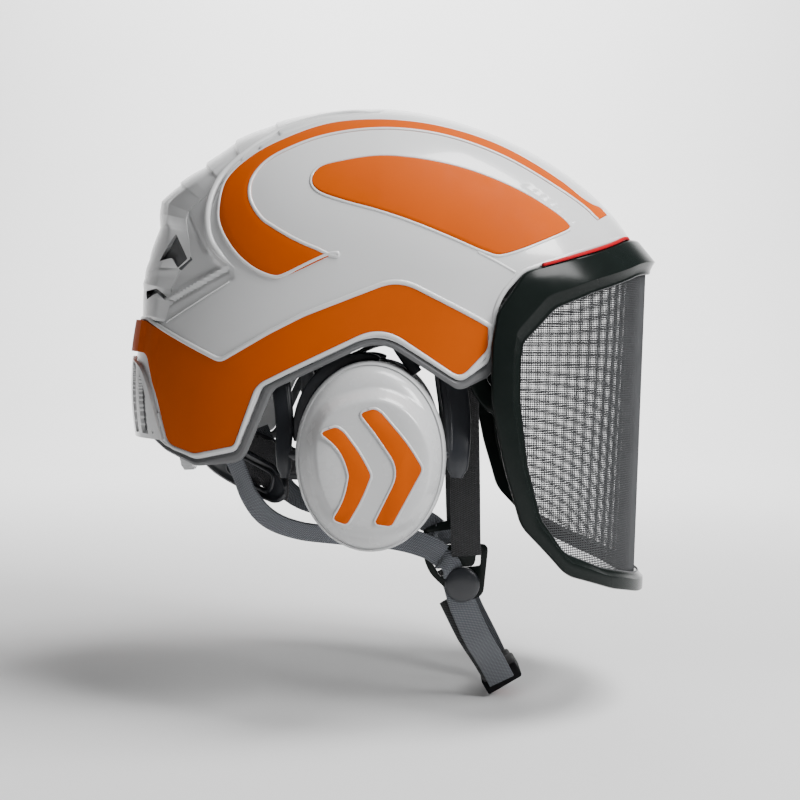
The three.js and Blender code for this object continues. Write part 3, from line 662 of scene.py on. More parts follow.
BAND_BOTTOM = [
    (rear_x(-100), -100), (-119.8, -101, 6), (-107, -149, 8), (-91.5, -153.6, 10), (-69.3, -148.7, 4),
    (-57.1, -117.2, 13), (-42, -109.8), (7.2, -86.7, 24), (47, -113.4, 6), (59.5, -100.3, 5), (60.8, -97.5),
]
STRIPE_OUTER = [
    (129.5, -25.5), (125, -21), (119, -19.5), (114.5, -17), (102, -7.5), (70, 11), (37, 21), (5, 24), (-21, 22),
    (-42, 14.5), (-62.5, 3.5), (-76, -10), (-79, -24.5), (-78, -35), (-69, -50), (-58.5, -59), (-49.5, -63),
    (-45.5, -63.5), (-42, -62.5), (-18.5, -52),
]
STRIPE_INNER = [
    (122, -30), (120, -28.5), (117, -25.5), (112.5, -22), (101, -14.5), (69, 3.5), (37, 14), (6, 16.5), (-20.5, 13),
    (-38, 7), (-53, -1.5), (-60, -11.5), (-60, -21), (-53.5, -31.5), (-48, -35.5), (-39, -41), (-31, -45),
    (-25, -47.5), (-21, -49.5), (-17.5, -51),
]
LENS_UPPER = [
    (-28.5, -12.5), (-28, -9.5), (-24.5, -5.5), (-12, -2), (6, 0.5), (27, -1), (52.5, -6.5), (80, -17.5), (99, -29),
    (104, -33.5), (105, -35),
]
LENS_LOWER = [
    (-28.5, -13.5), (-27.5, -16), (-24, -19), (-12, -23.5), (4, -28), (22, -34), (42, -42), (60, -49.5), (67, -51),
    (101, -38), (104.5, -36),
]
# The sunken side panel beside the rear vents, and the ledge below it.
SIDE_PANEL = np.array([
    (-54, 6), (-64.9, -2.2), (-79.2, -18.3), (-84.4, -34.4), (-82.2, -47.7), (-73.1, -57.6), (-107.4, -72.9),
    (-128, -80), (-128, -20), (-108, 4), (-80, 24),
])
LEDGE = np.array([(-71, -56), (-68.5, -63), (-108.3, -84.7), (-130, -92), (-128, -80), (-107.4, -72.9)])


def shell_relief(x, z):
    """How far the shell stands out of its smooth surface, mm."""
    panel = -2.3 * smooth_step(0, 4.5, inside(x, z, SIDE_PANEL))
    ledge = -0.9 * smooth_step(0, 0.9, inside(x, z, LEDGE))
    slot_line = path_distance(x, z, [(82.5, -13.4), (95.5, -23.2), (106, -32.4)])
    slot = -0.9 * (1 - smooth_step(0.5, 1.5, slot_line))
    crease_line = path_distance(x, z, [(-98.7, -26.4), (-92, -38.5), (-87.5, -45.9), (-82.2, -50.8)])
    crease = -0.8 * (1 - smooth_step(0.4, 1.5, crease_line))
    step_line = path_distance(x, z, [(-107.4, -74), (-90, -66.6), (-73.5, -58.6)])
    step = -1.2 * (1 - smooth_step(0.6, 2.0, step_line))
    return np.minimum(panel, ledge) + slot + crease + step


def dome_grid(rim, count, rows, out, relief=None, rear_weight=1.0, front_weight=1.0):
    """Points of the dome from the apex down to the rim. Weights put more columns where they are larger."""
    edge = even(rim, 3001)
    surface = on_shell(RIGHT, edge[:, 0], edge[:, 1])
    steps = np.linalg.norm(np.diff(surface, axis=0), axis=1)
    where = edge[1:, 0]
    weight = np.where(where < -55, rear_weight, np.where(where > 60, front_weight, 1.0))
    run = np.concatenate([[0], np.cumsum(steps * weight)])
    half = np.linspace(0, run[-1], count // 2 + 1)
    ends = np.stack([np.interp(half, run, edge[:, k]) for k in (0, 1)], axis=1)
    end = np.concatenate([ends, ends[-2:0:-1]])
    side = np.concatenate([np.full(len(ends), RIGHT), np.full(len(ends) - 2, LEFT)])
    dx = end[:, 0] - MIDDLE_X
    share = np.clip(dx / reach_at(end[:, 1], dx >= 0), -1, 1)
    middle = np.zeros(len(end), bool)
    middle[[0, len(ends) - 1]] = True
    share = np.where(middle, np.sign(dx), share)
    down = np.linspace(0, 1, rows)[:, None]
    top = EQUATOR_Z + RISE
    z = mix(end[None, :, 1], top, np.cos(down * PI / 2))
    x = MIDDLE_X + share[None] * reach_at(z, dx[None] >= 0)
    lift = out + (relief(x, z) if relief else np.zeros_like(z))
    spots = on_shell(side[None] + 0 * x, x, z, lift)
    spots[:, middle, 1] = 0
    spots[0] = (MIDDLE_X, 0, top + out)
    return spots


def along_shell(side, curve, out=0.0, shift=0.0, step=1.2):
    """A path on the shell along a curve of the side view, moved sideways in the surface by shift."""
    flat = even(curve, 600)
    spots = on_shell(side, flat[:, 0], flat[:, 1])
    length = np.linalg.norm(np.diff(spots, axis=0), axis=1).sum()
    path = even(spots, max(8, int(length / step)))
    path[0] = spots[0]
    normal = shell_normal(path[:, 0], path[:, 1], path[:, 2])
    tangent = unit(np.gradient(path, axis=0))
    return path + normal * out + np.cross(normal, tangent) * shift * side, normal


def make_shell():
    columns = 460
    outer = dome_grid(SHELL_RIM, columns, 190, 0.0, shell_relief, 2.0)
    inner = dome_grid(SHELL_RIM, columns, 16, -WALL, lambda x, z: -0.5 * (shell_relief(x, z) < -1), 2.0)
    shell = slab("helmet_shell", outer, inner, wrap=True, close=(False, True), sharp=40, weld=True)
    place(shell, "helmet", WHITE, "outer_shell", slot="shell_white")
    liner_out = dome_grid(line(LINER_RIM, 600), 240, 40, -5.6)
    liner_in = dome_grid(line(LINER_RIM, 600), 240, 60, -15, lambda x, z: 2.2 * (np.cos(x * 0.16) > 0.75))
    liner = slab("impact_liner_fine", liner_out, liner_in, wrap=True, close=(False, True), weld=True)
    place(liner, "helmet", LINER, "impact_liner", slot="liner_foam")


def make_flange():
    t = np.abs(np.linspace(-1, 1, 561))
    side = np.where(np.linspace(-1, 1, 561) <= 0, RIGHT, LEFT)[None]
    a, b = place_on(arcs(LOWER_RIM), t), place_on(arcs(FLANGE_RIM), t)
    drop = unit(b - a)
    a = a + drop * 0.5
    v = np.linspace(0, 1, 11)[:, None]
    x, z = mix(a[None, :, 0], b[None, :, 0], v), mix(a[None, :, 1], b[None, :, 1], v)
    edge = np.minimum(v, 1 - v) * np.linalg.norm(b - a, axis=1)[None]
    swell = 0.9 * smooth_step(0, 1.6, edge) - 0.7
    grids = []
    for out in (swell, -WALL + 0.8 * (1 - smooth_step(0, 1.2, edge))):
        grid = on_shell(side + 0 * x, x, z, out)
        middle = t < 1e-6
        grid[:, middle, 1] = 0
        grids.append(grid)
    place(slab("rim_flange_fine", *grids, sharp=60), "helmet", FLANGE, "rim_flange", slot="flange_grey")


def film(name, side, upper, lower, columns, rows, node):
    t = np.linspace(0, 1, columns)
    a, b = spline(upper, t), spline(lower, t)
    v = np.linspace(0, 1, rows)[:, None]
    x, z = mix(a[None, :, 0], b[None, :, 0], v), mix(a[None, :, 1], b[None, :, 1], v)
    edge = np.minimum(v, 1 - v) * np.linalg.norm(a - b, axis=1)[None]
    ends = np.minimum(t, 1 - t)[None] * 200
    top = 0.5 * smooth_step(0, 0.8, np.minimum(edge, ends)) + 0.15
    piece = slab(name, on_shell(side, x, z, top), on_shell(side, x, z, -0.4 + 0 * x), sharp=50)
    return place(piece, "helmet", ORANGE, node, slot="shell_orange")


def make_films():
    for side, word in SIDES:
        film(f"stripe_{word}", side, STRIPE_OUTER, STRIPE_INNER, 420, 9, f"upper_stripe_{word}")
        film(f"crown_inlay_{word}", side, LENS_UPPER, LENS_LOWER, 200, 40, f"crown_panel_{word}")
    t = np.abs(np.linspace(-1, 1, 1001))
    side = np.where(np.linspace(-1, 1, 1001) <= 0, RIGHT, LEFT)[None]
    a, b = place_on(arcs(BAND_TOP), t), place_on(arcs(BAND_BOTTOM), t)
    v = np.linspace(0, 1, 25)[:, None]
    x, z = mix(a[None, :, 0], b[None, :, 0], v), mix(a[None, :, 1], b[None, :, 1], v)
    y = half_width(x, z)
    rear = x < -60
    out = 0.6 + rear * (1.9 * (1 - smooth_step(47, 51, y)) + 0.9 * (1 - smooth_step(60, 63, y)))
    tops = on_shell(side + 0 * x, x, z, out)
    backs = on_shell(side + 0 * x, x, z, -0.4 + 0 * x)
    middle = t < 1e-6
    for grid, lift in ((tops, out[:, middle]), (backs, -0.4)):
        grid[:, middle, 1] = 0
        grid[:, middle, 0] = (MIDDLE_X - reach_at(z[:, middle], False)) - lift
    place(slab("wrap_band_inlay", tops, backs, sharp=50), "helmet", ORANGE, "wrap_band", slot="shell_orange")


def make_piping():
    pieces = []

    def pipe(side, curve, out, shift, radius, flat=0.75, taper=0):
        path, normal = along_shell(side, curve, out, shift)
        size = np.full(len(path), float(radius))
        if taper:
            size *= 0.25 + 0.75 * smooth_step(0, taper, np.arange(len(path)) * 1.2)
            size *= 0.25 + 0.75 * smooth_step(0, taper, np.arange(len(path))[::-1] * 1.2)
        pieces.append(tube("pipe", path, size, normal, flat))

    for side, _ in SIDES:
        pipe(side, arcs(BAND_TOP[:-1] + [(61.5, -88.5, 2), (61.5, -96)]), 0.3, -1.3, 1.35)
        pipe(side, arcs([(-112, -133)] + BAND_BOTTOM[2:]), 0.3, 1.3, 1.2)
        pipe(side, arcs(LOWER_RIM), -0.2, -0.7, 0.8)
        pipe(side, arcs([(52, -112.5)] + LOWER_RIM[-2:-1] + FRONT_RIM[:3]), 0.1, -1.2, 1.3)
        pipe(side, line(STRIPE_OUTER + [(-13.5, -51.5)] + STRIPE_INNER[::-1], 600), 0.2, -1.0, 1.0, 0.7)
        pipe(side, line(LENS_LOWER[::-1] + LENS_UPPER, 600), 0.1, -0.7, 0.7, 0.6)
        pipe(side, line([(56, -50), (66, -55), (75, -60)], 600), -0.1, 0, 0.8, 0.6)
        pipe(side, line([(-108, -84.6), (-90, -74.8), (-71.5, -64.5)], 600), 0.0, 0, 0.5)
        # The wide ridge outside the curved stripe, with a groove between them.
        ridge = [(5, 30), (-21, 28.5), (-46, 20.5), (-66, 6), (-78.5, -7), (-84.3, -24), (-82.5, -41),
                 (-76, -51), (-68.5, -57.5)]
        pipe(side, line(ridge, 600), -0.1, 0, 2.0, 0.8, 14)
    place(join_pieces("shell_piping", pieces), "helmet", WHITE, slot="shell_white")


# Rows of the faceted rear spine, from the crown down to the band: height of its middle line, side outline
# point at its foot, raise of the middle, raise of the shoulder, and where across the shoulder lies (0 to 1).
SPINE = [
    (36.5, 10, 31, 0.3, 0.2, 0.95), (33.0, -25, 23, 0.6, 0.5, 0.94), (29.2, -47, 13.5, 1.0, 0.9, 0.93),
    (28.6, -48, 12.8, -0.2, -0.2, 0.93), (24.0, -60, 6.0, 0.5, 0.8, 0.92), (19.5, -67, 0.5, 0.9, 1.3, 0.9),
    (18.6, -68, -0.5, -0.5, 0.2, 0.9), (13.0, -73, -5.0, -0.9, 1.0, 0.88), (7.5, -79, -9.7, -0.2, 1.9, 0.86),
    (6.2, -80, -10.5, -1.8, 0.9, 0.86), (0.0, -87, -15.5, 0.6, 1.6, 0.83), (-5.5, -91, -18.5, 2.4, 2.0, 0.78),
    (-6.5, -91.7, -19, 1.4, 1.8, 0.76), (-17.6, -98.9, -24.5, 5.4, 2.6, 0.62), (-24.0, -99.8, -29.0, 2.8, 1.4, 0.7),
    (-31.0, -98.5, -34.0, -0.6, 2.6, 0.8), (-33.0, -98.2, -36.0, -0.3, 2.3, 0.84),
    (-46.0, -95.1, -49.5, 1.4, 1.8, 0.78), (-49.0, -94.6, -51.5, 1.6, 1.6, 0.74),
    (-54.0, -102.0, -56.0, 3.0, 1.8, 0.76), (-56.0, -102.6, -57.0, 3.3, 2.4, 0.78),
    (-62.5, -108.0, -67.0, 3.9, 2.4, 0.84), (-66.0, -107.6, -70.0, 2.8, 0.6, 0.8),
    (-69.0, -105.0, -73.5, 2.4, 2.2, 0.84), (-79.0, -107.6, -83.5, 0.5, 1.6, 0.86),
    (-82.0, -108.0, -84.6, 0.3, 0.6, 0.86),
]
VENTS = [
    [(-103.3, -37.6), (-113.9, -51.6), (-105.3, -50.5), (-102.1, -56), (-95.8, -51.5)],
    [(-115.5, -66.3), (-107.6, -71.9), (-108.8, -73.4), (-115.3, -68.6), (-122.5, -72), (-124.5, -67)],
]


def make_spine():
    rows = np.array(SPINE)
    key = np.arange(len(rows))
    at = np.linspace(0, len(rows) - 1, 25 * (len(rows) - 1) // 3 + 1)
    at = np.unique(np.concatenate([at, key]))
    z_mid, foot_x, foot_z, raise_mid, raise_edge, shoulder = (np.interp(at, key, rows[:, k]) for k in range(6))
    x_mid = MIDDLE_X - reach_at(z_mid, False)
    c = np.linspace(-1, 1, 121)
    pull = np.abs(c)[None] ** SIDE_POWER
    x = x_mid[:, None] + (foot_x - x_mid)[:, None] * pull
    z = z_mid[:, None] + (foot_z - z_mid)[:, None] * pull
    side = np.where(c < 0, RIGHT, LEFT)[None] + 0 * x
    across = np.abs(c)[None]
    s = shoulder[:, None]
    slope = np.clip(across / s, 0, 1)
    top = mix(raise_mid[:, None], raise_edge[:, None], np.clip((slope - 0.5) * 2, 0, 1))
    flank = np.clip((across - s) / (1 - s), 0, 1)
    out = mix(top, -1.9, np.clip(flank * 1.15 - 0.15, 0, 1))
    front = on_shell(side, x, z, out)
    back = on_shell(side, x, z, np.minimum(out - 0.8, -2.4))
    for grid in (front, back):
        grid[:, 60, 1] = 0
    spine = slab("rear_spine", front, back, sharp=14)
    patches = []
    for vent in VENTS:
        for turned, _ in SIDES:
            outline = rounded(vent, 0.8, 3)
            rings = [np.stack([outline[:, 0], np.full(len(outline), turned * y), outline[:, 1]], axis=1)
                     for y in (20, 95)]
            cut_out(spine, ring_body("opening", np.array(rings)))
            # A dark grey sheet sunk behind each opening stands in for the shade inside the vent: painted shade.
            centre = outline.mean(axis=0)
            grown = outline + unit(outline - centre) * 1.5
            steps = [mix(centre, grown, k) for k in (1, 0.75, 0.5, 0.25, 0.03)]
            faces = [np.array([on_shell(turned, ring[:, 0], ring[:, 1], lift) for ring in steps])
                     for lift in (-1.7, -2.5)]
            patches.append(slab("shade", faces[0], faces[1], wrap=True))
    place(spine, "helmet", WHITE, slot="shell_white")
    place(join_pieces("vent_painted_shade", patches), "helmet", FLANGE, slot="flange_grey")


def make_grille():
    edge = [(7, -103), (22, -108), (27.5, -116), (31, -128), (34.5, -147)]
    v = np.linspace(0, 1, 61)
    ends = spline(edge, v)
    c = np.linspace(-1, 1, 141)
    angle = np.radians(ends[:, 0])[:, None] * c[None]
    z = ends[:, 1][:, None] + 0 * angle
    x = MIDDLE_X - reach_at(z, False) * np.cos(angle)
    side = np.where(angle < 0, RIGHT, LEFT)
    border = np.minimum(1 - np.abs(c)[None] + 0 * angle, np.minimum(v, 1 - v)[:, None] * 2.2)
    fins = np.cos(angle * 180 / PI / 7.2 * 2 * PI) > 0.15
    solid = fins | (border < 0.09)
    out = np.where(solid, 2.5, 0.7)
    front = on_shell(side, x, z, out)
    back = on_shell(side, x, z, -0.4 + 0 * x)
    for grid, lift in ((front, out[:, 70]), (back, -0.4)):
        grid[:, 70, 1] = 0
        grid[:, 70, 0] = MIDDLE_X - reach_at(z[:, 70], False) - lift
    piece = slab("rear_grille_fins", front, back, sharp=25)
    place(piece, "helmet", (WHITE, DARK), "rear_grille", slot="shell_white")
    # The sunken floors between the fins take the dark plastic: painted shade in the slots between the fins.
    deep = ~(solid[1:, 1:] | solid[:-1, :-1] | solid[1:, :-1] | solid[:-1, 1:])
    flags = np.zeros(len(piece.data.polygons), np.int32)
    flags[:deep.size] = deep.ravel()
    piece.data.polygons.foreach_set("material_index", flags)


# ------------------------------------------------------------------ visor

TOP_REACH, VISOR_WIDTH, TOP_Z, LEAN, BEZEL = 156.4, 109.8, -49.0, 0.04, 10.6
CREASE = 0.66
# Half angle round the head, degrees, and height, mm, from the middle of the brow down to the chin's middle.
VISOR_OUTER = [
    (0, -37), (27, -39.5), (49.5, -51), (64, -59.5), (70, -80.5), (71, -97), (71, -125), (68, -159),
    (64, -189.5), (52, -216), (36, -226), (20, -232), (0, -236),
]
VISOR_INNER = [
    (0, -55), (25, -58.5), (45, -69), (56.5, -78), (64, -95.5), (64.5, -104), (64.5, -126), (62.5, -159),
    (59, -186), (52.5, -204.5), (40, -214.5), (22, -221.5), (0, -225),
]


def visor_point(side, degrees, z, out):
    angle = np.radians(np.clip(degrees, 0, 90))
    reach = TOP_REACH - np.maximum(0, TOP_Z - z) * LEAN + out
    power = 2 / SIDE_POWER
    x = MIDDLE_X + reach * np.cos(angle) ** power
    y = side * (VISOR_WIDTH + out) * np.sin(angle) ** power
    return np.stack(np.broadcast_arrays(x, y, z), axis=-1)


def brow_slope(z):
    fade = np.maximum(0, (75 + z) / 39)
    return -BEZEL * fade * fade


def make_visor_frame():
    u = np.arange(420) / 420
    side = np.where(u <= 0.5, RIGHT, LEFT)
    along = 1 - np.abs(1 - 2 * u)
    a, b = angular(VISOR_OUTER, along), angular(VISOR_INNER, along)

    def section(v, deep):
        edge = mix(a, b, v)
        slope = brow_slope(a[:, 1]) * (1 - min(1, v / CREASE))
        return visor_point(side, edge[:, 0], edge[:, 1], deep + slope)

    face = [(0, -1.2), (0.01, -0.6), (0.03, -0.15), (0.07, 0), (0.3, 0.04), (CREASE - 0.03, 0.02), (CREASE, -0.05),
            (CREASE + 0.02, -0.25), (0.80, -1.5), (0.92, -2.45), (0.94, -2.5), (0.985, -2.5), (1.0, -2.7)]
    rear = [(0, -1.9), (0.02, -2.6), (0.06, -3.2), (0.76, -3.4), (0.78, -5.9), (0.80, -6.1), (0.93, -6.1),
            (0.95, -5.9), (0.97, -3.6), (1.0, -3.3)]
    front = np.array([section(v, d) for v, d in face])
    back = np.array([section(v, d) for v, d in rear])
    piece = slab("visor_frame_fine", front, back, wrap=True, sharp=28)
    place(piece, "visor", BLACK, "visor_frame", slot="gloss_black")


def visor_edges(share):
    """Upper and lower edge heights by angle, and widest angle by height, between the two outlines."""
    t = np.linspace(0, 1, 1201)
    edge = mix(angular(VISOR_OUTER, t), angular(VISOR_INNER, t), share)
    widest = int(np.argmax(edge[:, 0]))
    upper, lower = edge[:widest + 1], edge[widest:][::-1]
    return upper, lower


def make_visor_mesh():
    upper, lower = visor_edges(0.88)
    pitch, out = 1.25, -5.4
    wires, faces = [], []
    corners = np.array([(1, 0), (0, 1), (-1, 0), (0, -1)])

    def add_wire(degrees, side, z, shift, radius):
        path = visor_point(side, degrees, z, out + shift)
        normal = unit(path - np.array([MIDDLE_X, 0, 0]) * [1, 1, 0] - path * [0, 0, 1])
        across, lift = frames_along(path, normal)
        start = sum(len(w) for w in wires)
        sideways = corners[None, :, :1] * across[:, None]
        ring = path[:, None] + radius * (sideways + corners[None, :, 1:] * lift[:, None])
        wires.append(ring.reshape(-1, 3))
        faces.extend(grid_faces(len(path), 4, start, True, False))
        faces.append([start, start + 1, start + 2, start + 3])
        last = start + (len(path) - 1) * 4
        faces.append([last + 3, last + 2, last + 1, last])

    dense = np.linspace(0, 66, 4001)
    spots = visor_point(RIGHT, dense, np.full(4001, -120.0), out)
    run = np.concatenate([[0], np.cumsum(np.linalg.norm(np.diff(spots, axis=0), axis=1))])
    for k in range(int(run[-1] / pitch)):
        degrees = np.interp((k + 0.5) * pitch, run, dense)
        high = np.interp(degrees, upper[:, 0], upper[:, 1])
        low = np.interp(degrees, lower[:, 0], lower[:, 1])
        if high - low < 4 or degrees > upper[-1, 0]:
            continue
        z = np.linspace(high, low, 14)
        for side, _ in SIDES:
            add_wire(np.full(14, degrees), side, z, 0.12, 0.26)
    heights = np.arange(-56, -224, -pitch)
    for z in heights:
        bound = np.interp(-z, -upper[:, 1], upper[:, 0]) if z > upper[-1, 1] else np.interp(
            z, lower[:, 1], lower[:, 0])
        if bound < 4:
            continue
        degrees = np.linspace(-bound, bound, 73)
        add_wire(np.abs(degrees), np.where(degrees < 0, RIGHT, LEFT), np.full(73, z), -0.12, 0.28)
    t = np.linspace(-1, 1, 241)
    border = angular(VISOR_INNER, np.abs(t))
    add_wire(border[:, 0], np.where(t < 0, RIGHT, LEFT), border[:, 1], 2.3, 0.55)
    piece = finish_mesh("visor_wire_mesh", np.concatenate(wires), faces, sharp=80)
    place(piece, "visor", WIRE, "visor_mesh", slot="mesh_grey")


def make_visor_trims():
    t = np.linspace(-1, 1, 241)
    along = np.abs(t) * 0.226
    side = np.where(t < 0, RIGHT, LEFT)
    edge = angular(VISOR_OUTER, along)
    rings = []
    for lift, inset in ((0.3, 1.3), (0.3, -0.2), (0.6, -0.5), (1.6, -0.5), (1.9, -0.2), (1.9, 1.3)):
        out = brow_slope(edge[:, 1]) - inset
        sink = 1.8 * (1 - smooth_step(20, 27, edge[:, 0]))
        rings.append(visor_point(side, edge[:, 0], edge[:, 1] + lift - sink, out - sink))
    rings = np.array(rings).transpose(1, 0, 2)
    place(ring_body("visor_seal_fine", rings, sharp=50), "visor", RED, "visor_seal", slot="red_trim")
    for side, word in SIDES:
        path = line([(40, 91.5 * side, -60), (46, 91 * side, -84), (52, 90.5 * side, -105),
                     (58.5, 91.5 * side, -120), (65, 94.6 * side, -127), (70.5, 95.2 * side, -127)], 60)
        grow = 1 - 0.18 * np.sin(np.linspace(0, PI, 60))
        arm = bar("arm", path, 11 * grow, 3.6, (0, side, 0), corner=1.6, steps=4, crown=0.5)
        turn = np.linspace(0, 2 * PI, 49)[:-1]
        profile = [(4.3, 89.7), (8.6, 89.7), (9, 90.1), (9, 92.9), (8.6, 93.4), (4.7, 93.4), (4.3, 93.0)]
        rings = np.array([
            np.stack([40 + r * np.cos(turn), np.full(48, side * y), -60 + r * np.sin(turn)], axis=1)
            for r, y in profile])
        boss = ring_body("boss", rings, cap=False)
        place(join_pieces(f"visor_arm_{word}_fine", [arm, boss]), "visor", BLACK, f"visor_arm_{word}",
              slot="gloss_black")
        place(softened(f"visor_pivot_{word}", f"visor_pin_{word}", 0.4), "helmet", STEEL, f"visor_pivot_{word}",
              slot="pin_steel")


# ------------------------------------------------------------------ ear muffs

CUP_X, CUP_Z, CUP_LENGTH, CUP_HEIGHT = 1.5, -153.5, 38.5, 48.6
PLATEAU = [
    (8.2, -120.5), (-5.9, -122.2), (-21, -128), (-28.4, -142.5), (-27.1, -164.5), (-20.9, -180.3), (-13, -188),
    (3.7, -191.5), (22, -187), (33.7, -170), (35, -151.3), (30.2, -137.2), (21.3, -126.6), (8.2, -120.5),
]
# Each chevron's corners, from the middle of its top edge down the front, round the foot and up the rear.
CHEVRONS = {
    "rear": [
        (-18.5, -139.2), (-15, -138), (-11.5, -140.5, 2), (-2.5, -152.5, 80), (1.7, -161.5), (-3, -173.5, 80),
        (-10, -185.2), (-16, -183), (-10.5, -175, 40), (-8, -161.5, 8), (-11.7, -148, 28), (-22, -140.5),
        (-18.5, -139.2)],
    "front": [
        (0.7, -130), (4, -129), (7, -131, 2), (19.7, -145.9, 90), (27.2, -158.2, 4), (12, -186), (4.5, -185),
        (17.5, -159, 16), (5, -140.5, 90), (-2.5, -131), (0.7, -130)],
}


def chevron_outline(corners):
    """Evenly spaced points round a chevron, without the first one again at the end."""
    return even(arcs(corners, 7), 145)[:-1]


def oval(shrink, angle):
    long, high = CUP_LENGTH - shrink, CUP_HEIGHT - shrink
    return np.stack([CUP_X + long * np.cos(angle), CUP_Z + high * np.sin(angle)], axis=-1)


def make_cup(side, word):
    angle = np.linspace(0, 2 * PI, 181)[:-1]
    profile = [(0.5, 84), (0.05, 84.5), (0, 88), (0, 95.5), (0.15, 97.5), (0.5, 100.2), (1.1, 102.3), (1.9, 103.6),
               (2.2, 103.0), (2.7, 103.1), (3.0, 104.0), (3.9, 105.4), (5.4, 106.9), (7.8, 108.3), (10.8, 109.4),
               (14, 110.1), (18, 110.6), (24, 110.8), (30, 110.8), (38.4, 110.8)]
    fine = spline(profile[10:], np.linspace(0, 1, 60))
    rows = np.concatenate([np.array(profile[:10]), fine])
    flat = rounded(PLATEAU[:-1], 12, 4)
    spots = []
    for shrink, y in rows:
        xz = oval(min(shrink, 38.4), angle)
        if shrink > 38.3:
            xz = np.full_like(xz, (CUP_X, CUP_Z))
        rise = 6.2 * smooth_step(-3.6, 3.8, inside(xz[:, 0], xz[:, 1], flat))
        spots.append(np.stack([xz[:, 0], side * (y + rise * (shrink > 3.2)), xz[:, 1]], axis=1))
    front = np.array(spots)
    inner = [(2.6, 84), (2.8, 96), (5, 101.5), (9, 105.5), (20, 108), (38.4, 108.3)]
    back = []
    for shrink, y in inner:
        xz = oval(shrink, angle) if shrink < 38.3 else np.full((180, 2), (CUP_X, CUP_Z))
        back.append(np.stack([xz[:, 0], np.full(180, side * y), xz[:, 1]], axis=1))
    cup = slab("cup", front, np.array(back), wrap=True, close=(True, False), sharp=45, weld=True)
    pieces = [cup]
    for shape in CHEVRONS.values():
        edge = grown(chevron_outline(shape), 1.0)
        closed = np.vstack([edge, edge[:2]])
        path = np.stack([closed[:, 0], np.full(len(closed), side * 117.05), closed[:, 1]], axis=1)
        pieces.append(tube("lip", path, 0.75, (0, side, 0), 0.8, 8))
    cup = join_pieces(f"ear_cup_{word}_fine", pieces)
    place(cup, f"ear_muff_{word}", CUP, f"ear_cup_{word}", slot="cup_grey")
    for where, shape in CHEVRONS.items():
        edge = grown(chevron_outline(shape), 0.6)
        piece = plate(f"chevron_{where}_{word}", edge, 116.6, 117.5, side, 0.15)
        place(piece, f"ear_muff_{word}", ORANGE, f"cup_chevron_{where}_{word}", slot="shell_orange")


def make_muff(side, word):
    make_cup(side, word)
    puffed(f"ear_cushion_{word}", f"cushion_{word}", f"ear_muff_{word}", LEATHERETTE, 3.6, 1.6)
    puffed(f"cup_foam_{word}", f"inner_foam_{word}", f"ear_muff_{word}", TEXTILE, 5.0, 1.0)
    arm_body = f"muff_arm_{word}"
    pieces = []
    turn = np.linspace(-47, 44, 12)
    pieces.append(tube("rod", np.stack([turn, np.full(12, 80.0 * side), np.full(12, -84.0)], axis=1), 2.5,
                       (0, 0, 1), 1, 20))
    for foot_x, top_x, wide in ((-43.5, -46.5, 9.5), (46, 43, 14)):
        path = line([(top_x, 80 * side, -82), (top_x, 80.5 * side, -108), (foot_x, 85 * side, -136),
                     (foot_x, 90 * side, -152), (foot_x * 0.985, 90 * side, -165)], 60)
        t = np.linspace(0, 1, 60)
        width = wide * (0.82 + 0.22 * np.sin(PI * np.clip(t * 1.1, 0, 1)) - 0.35 * smooth_step(0.93, 1.0, t))
        pieces.append(bar("leg", path, width, 3.4, (0, side, 0), corner=1.5, steps=4, crown=0.9))
        rib = path[8:50] + np.array([-0.25 * wide * np.sign(foot_x), 1.9 * side, 0])
        pieces.append(bar("rib", rib, 1.6, 1.4, (0, side, 0), corner=0.6))
    for low, high in ((-42, -35), (38, 46)):
        x = np.linspace(low, high, 4)
        pieces.append(tube("pin", np.stack([x, np.full(4, 90.0 * side), np.full(4, CUP_Z)], axis=1), 2.4,
                           (0, 0, 1), 1, 20))
    # The guard bow behind the upper rear edge of the cup, and the short strut towards the front.
    bow = np.radians(np.linspace(84, 172, 50))
    xz = oval(-1.2, bow)
    path = np.stack([xz[:, 0], np.full(50, 83.0 * side), xz[:, 1]], axis=1)
    thick = 2.2 + 4.5 * np.sin(PI * np.linspace(0, 1, 50)) ** 0.7
    outward = np.stack([np.cos(bow), 0 * bow, np.sin(bow)], axis=1)
    path = path + outward * (thick[:, None] / 2 - 1.4)
    pieces.append(bar("bow", path, 7.5, thick, outward, corner=1.2, steps=4))
    strut = line([(9, 80.5 * side, -86), (16, 81.5 * side, -99), (25, 83.5 * side, -111.5)], 24)
    pieces.append(bar("strut", strut, 6.0, 2.6, (0, side, 0), corner=1.0, crown=0.4))
    yoke = join_pieces(f"muff_yoke_{word}_fine", pieces)
    place(yoke, arm_body, DARK, f"muff_yoke_{word}", slot="dark_plastic")
    place(softened(f"muff_hinge_{word}", f"muff_hinge_{word}_fine", 0.8), "helmet", DARK, f"muff_hinge_{word}",
          slot="dark_plastic")


# ------------------------------------------------------------------ head and chin harness


def ellipse_point(half_length, half_width_, middle, angle, out, z):
    x = middle + (half_length + out) * np.cos(angle)
    y = (half_width_ + out) * np.sin(angle)
    return np.stack(np.broadcast_arrays(x, y, z), axis=-1)


def strap(name, points, width, thick, up, body, material, node, slot, count=90):
    path = line(points, count)
    piece = bar(name, path, width, thick, up, corner=0.45, steps=2)
    place(piece, body, material, *([node] if node else []), slot=slot)
    return piece


